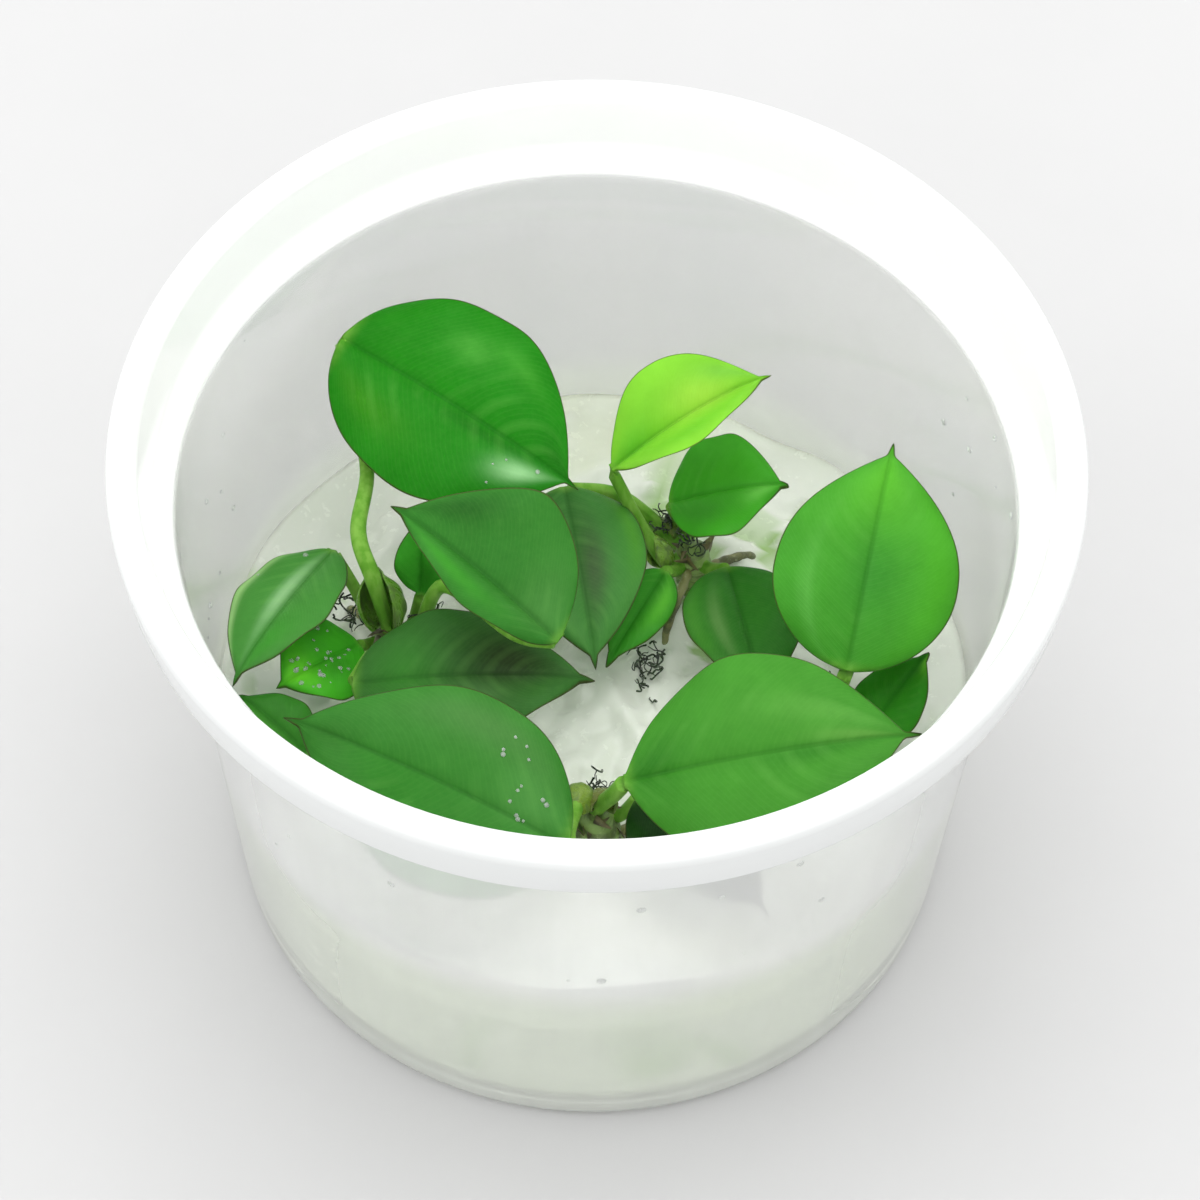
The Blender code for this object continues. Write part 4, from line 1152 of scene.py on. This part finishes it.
def scatter_tree():
    """Scatters copies of a shape over a surface, standing along its normals: inputs Shape, Density,
    Seed, Smallest, Largest and Finish."""
    tree, nodes = new_tree(
        "scatter_on_surface", {"Shape": "Object", "Density": "Float", "Seed": "Int",
                               "Smallest": "Float", "Largest": "Float", "Finish": "Material"},
        {"spread": "GeometryNodeDistributePointsOnFaces", "copies": "GeometryNodeInstanceOnPoints",
         "shape": "GeometryNodeObjectInfo", "size": "FunctionNodeRandomValue",
         "turn": "FunctionNodeRotateRotation", "spin": "FunctionNodeRandomValue",
         "angle": "FunctionNodeEulerToRotation"})
    nodes["turn"].rotation_space, nodes["size"].data_type = "LOCAL", "FLOAT"
    spin = nodes["spin"]
    spin.data_type = "FLOAT_VECTOR"
    spin.inputs[0].default_value, spin.inputs[1].default_value = (0, 0, 0), (0, 0, math.tau)
    wire(tree, nodes, ("given", "Geometry", "spread", "Mesh"),
         ("given", "Density", "spread", "Density"),
         *(("given", "Seed", seeded, "Seed") for seeded in ("spread", "size", "spin")),
         ("given", "Shape", "shape", "Object"), ("given", "Smallest", "size", 2),
         ("given", "Largest", "size", 3), ("spin", 0, "angle", 0),
         ("spread", "Rotation", "turn", "Rotation"), ("angle", 0, "turn", "Rotate By"),
         ("spread", "Points", "copies", "Points"), ("shape", "Geometry", "copies", "Instance"),
         ("turn", 0, "copies", "Rotation"), ("size", 1, "copies", "Scale"), ("copies", 0, "real", 0))
    return tree


def grown(name, mesh, tree, values):
    """Run a node tree on a mesh with the given inputs and return the plain mesh that it makes."""
    carrier = bpy.data.objects.new(name + "_carrier", mesh)
    bpy.context.scene.collection.objects.link(carrier)
    modifier = carrier.modifiers.new("grow", "NODES")
    modifier.node_group = tree
    for item in tree.interface.items_tree:
        if item.in_out == "INPUT" and item.name in values:
            modifier[item.identifier] = values[item.name]
    carrier.data.update()
    graph = bpy.context.evaluated_depsgraph_get()
    made = bpy.data.meshes.new_from_object(carrier.evaluated_get(graph), depsgraph=graph)
    made.name = name
    carrier.modifiers.clear()
    bpy.data.objects.remove(carrier)
    bpy.data.meshes.remove(mesh)
    if not made.polygons:
        raise RuntimeError(name + " came out empty")
    return face_out(made)


class PLANTLETS_OT_sheaths(bpy.types.Operator):
    """Build the thin sheaths round the stalks' feet and the brown bud scales on the rhizomes"""
    bl_idname = "plantlets.sheaths"
    bl_label = "Sheaths and scales"

    def execute(self, context):
        skin = sheath_skin()
        for leaf, length, radius, opening, tone in SHEATHS:
            name = leaf.replace("leaf", "sheath")
            piece(name, sheath_mesh(name, LEAVES[leaf], length, radius, opening, tone), skin, "leaf")
        brown = fleshy("scale_skin", (0.15, 0.13, 0.05), (0.05, 0.045, 0.02), (0.30, 0.34, 0.12))
        shape = bpy.data.objects.new("bud_scale", scale_mesh())
        shape.data.transform(Matrix.Rotation(math.radians(-50), 4, "X"))
        tree = scatter_tree()
        for number, (name, stations) in enumerate(RHIZOMES.items()):
            upper = [p for p, _ in stations][-2:]
            middle = Vector(upper[0]).lerp(Vector(upper[1]), 0.45)
            path = smooth_path([middle, Vector(upper[1])], 8)
            band = tube_rings(path, [stations[-1][1] * 1.02, stations[-1][1] * 0.8], 16)
            mesh = grown(name.replace("rhizome", "scales"), ring_mesh("band", band), tree, {
                "Shape": shape, "Density": SCALE_DENSITY, "Seed": 11 + number, "Smallest": 0.5,
                "Largest": 1.25, "Finish": brown})
            piece(mesh.name, mesh, brown, "rhizome")
        return {"FINISHED"}


class PLANTLETS_OT_fibres(bpy.types.Operator):
    """Build the dark tangles of fine roots at the plantlets' feet"""
    bl_idname = "plantlets.fibres"
    bl_label = "Fine root tangles"

    def execute(self, context):
        settings = context.scene.plantlet_foot
        skin = fleshy("fibre_skin", tuple(settings.fibre), (0.012, 0.02, 0.012), (0.30, 0.38, 0.24),
                      0.32)
        tree = fibre_tree()
        for number, (centre, spread, count) in enumerate(TANGLES):
            draw = random.Random(40 + number)
            points, edges = [], []
            for _ in range(count):
                here = Vector(centre) + Vector([draw.gauss(0, 0.5) * s for s in spread])
                way = Vector([draw.gauss(0, 1) for _ in range(3)]).normalized()
                for step in range(FIBRE_STEPS):
                    if step:
                        edges.append((len(points) - 1, len(points)))
                    points.append(here * MM)
                    way = (way + Vector([draw.gauss(0, 0.75) for _ in range(3)])).normalized()
                    pull = (Vector(centre) - here) * 0.10
                    here = here + way * draw.uniform(0.35, 0.75) + pull
                    here.z = max(here.z, gel_height(here.x, here.y) - 0.8)
            mesh = bpy.data.meshes.new("edges")
            mesh.from_pydata(points, edges, [])
            name = f"fine_roots_{number + 1}"
            made = grown(name, mesh, tree, {
                "Radius": settings.fibre_radius, "Sides": FIBRE_SIDES, "Finish": skin})
            piece(name, made, skin, "root")
        return {"FINISHED"}


# ---- water -------------------------------------------------------------------------------
BEAD_SINK = 0.02
LEAF_BEADS = (0.09, 0.32)


def bead_mesh():
    """A low bead of water, 1 m in radius before it is scaled, that rests on the plane z = 0."""
    profile = ((0.72, -0.06), (0.97, 0.0), (1.0, 0.16), (0.84, 0.34), (0.55, 0.48), (0.22, 0.54))
    return ring_mesh("water_bead", [[p / MM for p in circle(r, z, 10)] for r, z in profile])


def wall_patch(low, high, start, end, outside):
    """A strip of the cup's inner or outer wall between two heights and two angles in degrees."""
    rows, columns = 6, 40
    reach = WALL - BEAD_SINK if outside else BEAD_SINK - 0.04
    points, faces = [], []
    for z in [low + (high - low) * r / rows for r in range(rows + 1)]:
        radius = wall_radius(z) + reach
        for c in range(columns + 1):
            a = math.radians(start + (end - start) * c / columns)
            points.append(Vector((radius * math.cos(a), radius * math.sin(a), z)) * MM)
    for i in [r * (columns + 1) + c for r in range(rows) for c in range(columns)]:
        face = (i, i + columns + 1, i + columns + 2, i + 1)
        faces.append(face[::-1] if outside else face)
    mesh = bpy.data.meshes.new("wall_patch")
    mesh.from_pydata(points, [], faces)
    return mesh


def leaf_patch(name, low, high, left, right):
    """The upper faces of a finished blade between two shares of its length and of its width."""
    mesh = bpy.data.objects["grown_" + name].data
    marks = {key: [item.value for item in mesh.attributes[key].data]
             for key in ("along", "across", "upper")}
    keep = []
    for face in mesh.polygons:
        along, across, upper = (sum(values[v] for v in face.vertices) / len(face.vertices)
                                for values in marks.values())
        if upper > 0.9 and low < along < high and left < across < right:
            keep.append(tuple(face.vertices))
    used = sorted({v for face in keep for v in face})
    place = {v: i for i, v in enumerate(used)}
    made = bpy.data.meshes.new("leaf_patch")
    made.from_pydata([mesh.vertices[v].co for v in used], [],
                     [tuple(place[v] for v in face) for face in keep])
    return made


class PLANTLETS_OT_water(bpy.types.Operator):
    """Scatter beads of water over the walls and the wet leaves"""
    bl_idname = "plantlets.water"
    bl_label = "Water beads"

    def execute(self, context):
        settings = context.scene.plantlet_water
        skin = water_skin()
        tree = scatter_tree()
        shape = bpy.data.objects.new("water_bead", bead_mesh())

        def beads(name, patch, slot, density, seed, smallest, largest):
            mesh = grown(name, patch, tree, {
                "Shape": shape, "Density": density, "Seed": seed, "Smallest": smallest,
                "Largest": largest, "Finish": skin})
            piece(name, mesh, skin, slot)

        for number, (name, *strip, outside, share, size) in enumerate(WET_WALLS):
            beads(name, wall_patch(*strip, outside), "cup" if outside else "gel",
                  settings.density * share, 3 + number, settings.largest * 0.25,
                  settings.largest * size)
        for number, (leaf, region, density) in enumerate(WET_LEAVES):
            beads(leaf.replace("leaf", "beads_on"), leaf_patch(leaf, *region), "leaf", density,
                  21 + number, LEAF_BEADS[0] * MM, LEAF_BEADS[1] * MM)
        return {"FINISHED"}


# ---- floor, light and camera ---------------------------------------------------------------
FLOOR_REACH = 1.5
LIGHT_AIM = (0.0, 0.0, 0.03)
WINDOW_SHARE = 0.35
CAMERA_PLACE = (0.00059, -0.21137, 0.34997)
CAMERA_TILT, CAMERA_ROLL = 34.48, 1.25


def area_light(name, place, size, power):
    data = bpy.data.lights.new(name, "AREA")
    data.shape, data.size, data.energy = "DISK", size, power
    lamp = bpy.data.objects.new(name, data)
    lamp.location = place
    lamp.rotation_euler = (Vector(LIGHT_AIM) - Vector(place)).to_track_quat("-Z", "Y").to_euler()
    bpy.context.scene.collection.objects.link(lamp)


class PLANTLETS_OT_stage(bpy.types.Operator):
    """Set up the pale floor, the soft light and the camera"""
    bl_idname = "plantlets.stage"
    bl_label = "Floor, light and camera"

    def execute(self, context):
        settings = context.scene.plantlet_stage
        floor_finish = Finish("floor_finish", Roughness=0.7)
        grain = floor_finish.ramp(floor_finish.noise(30.0, 3.0), 0.3, 0.7)
        floor_finish.surface(Base_Color=floor_finish.blend(
            grain, tuple(settings.floor), tuple(0.985 * c for c in settings.floor)))
        mesh = bpy.data.meshes.new("floor")
        corners = ((-1, -1), (1, -1), (1, 1), (-1, 1))
        mesh.from_pydata([(FLOOR_REACH * x, FLOOR_REACH * y, 0.0) for x, y in corners], [],
                         [(0, 1, 2, 3)])
        mesh.materials.append(floor_finish.material)
        floor = bpy.data.objects.new("floor", mesh)
        context.scene.collection.objects.link(floor)
        world = bpy.data.worlds.new("studio")
        world.use_nodes = True
        sky = world.node_tree.nodes["Background"]
        sky.inputs["Color"].default_value = (1.0, 1.0, 1.0, 1.0)
        sky.inputs["Strength"].default_value = settings.ambient
        context.scene.world = world
        area_light("overhead", (0.05, 0.10, 0.75), 0.55, settings.overhead)
        area_light("window", (-0.55, -0.10, 0.45), 0.30, settings.overhead * WINDOW_SHARE)
        data = bpy.data.cameras.new("camera")
        data.lens, data.sensor_width = settings.lens, 36.0
        data.clip_start, data.clip_end = 0.01, 10.0
        camera = bpy.data.objects.new("camera", data)
        camera.matrix_world = (Matrix.Translation(CAMERA_PLACE)
                               @ Matrix.Rotation(math.radians(CAMERA_TILT), 4, "X")
                               @ Matrix.Rotation(math.radians(CAMERA_ROLL), 4, "Z"))
        context.scene.collection.objects.link(camera)
        context.scene.camera = camera
        context.scene.view_settings.view_transform = "Standard"
        return {"FINISHED"}


# ---- the sidebar ---------------------------------------------------------------------------
OPERATORS = (PLANTLETS_OT_cup, PLANTLETS_OT_gel, PLANTLETS_OT_leaves, PLANTLETS_OT_rhizomes,
             PLANTLETS_OT_roots, PLANTLETS_OT_sheaths, PLANTLETS_OT_fibres, PLANTLETS_OT_water,
             PLANTLETS_OT_stage)
SETTINGS = {"plantlet_cup": CupSettings, "plantlet_gel": GelSettings,
            "plantlet_leaf": LeafSettings, "plantlet_foot": FootSettings,
            "plantlet_water": WaterSettings, "plantlet_stage": StageSettings}


class PLANTLETS_PT_panel(bpy.types.Panel):
    """The pieces of the plantlets and their settings"""
    bl_idname = "PLANTLETS_PT_panel"
    bl_label = "Culture cup plantlets"
    bl_space_type = "VIEW_3D"
    bl_region_type = "UI"
    bl_category = "Plantlets"

    def draw(self, context):
        for operator in OPERATORS:
            self.layout.operator(operator.bl_idname)
        for name, group in SETTINGS.items():
            box = self.layout.box()
            box.label(text=group.__doc__)
            for setting in group.__annotations__:
                box.prop(getattr(context.scene, name), setting)


def register():
    for cls in (*SETTINGS.values(), *OPERATORS, PLANTLETS_PT_panel):
        bpy.utils.register_class(cls)
    for name, group in SETTINGS.items():
        setattr(bpy.types.Scene, name, PointerProperty(type=group))


def unregister():
    for name in SETTINGS:
        delattr(bpy.types.Scene, name)
    for cls in (PLANTLETS_PT_panel, *reversed(OPERATORS), *reversed(tuple(SETTINGS.values()))):
        bpy.utils.unregister_class(cls)


def main():
    register()
    for operator in OPERATORS:
        group, name = operator.bl_idname.split(".")
        getattr(getattr(bpy.ops, group), name)()


if __name__ == "__main__":
    main()
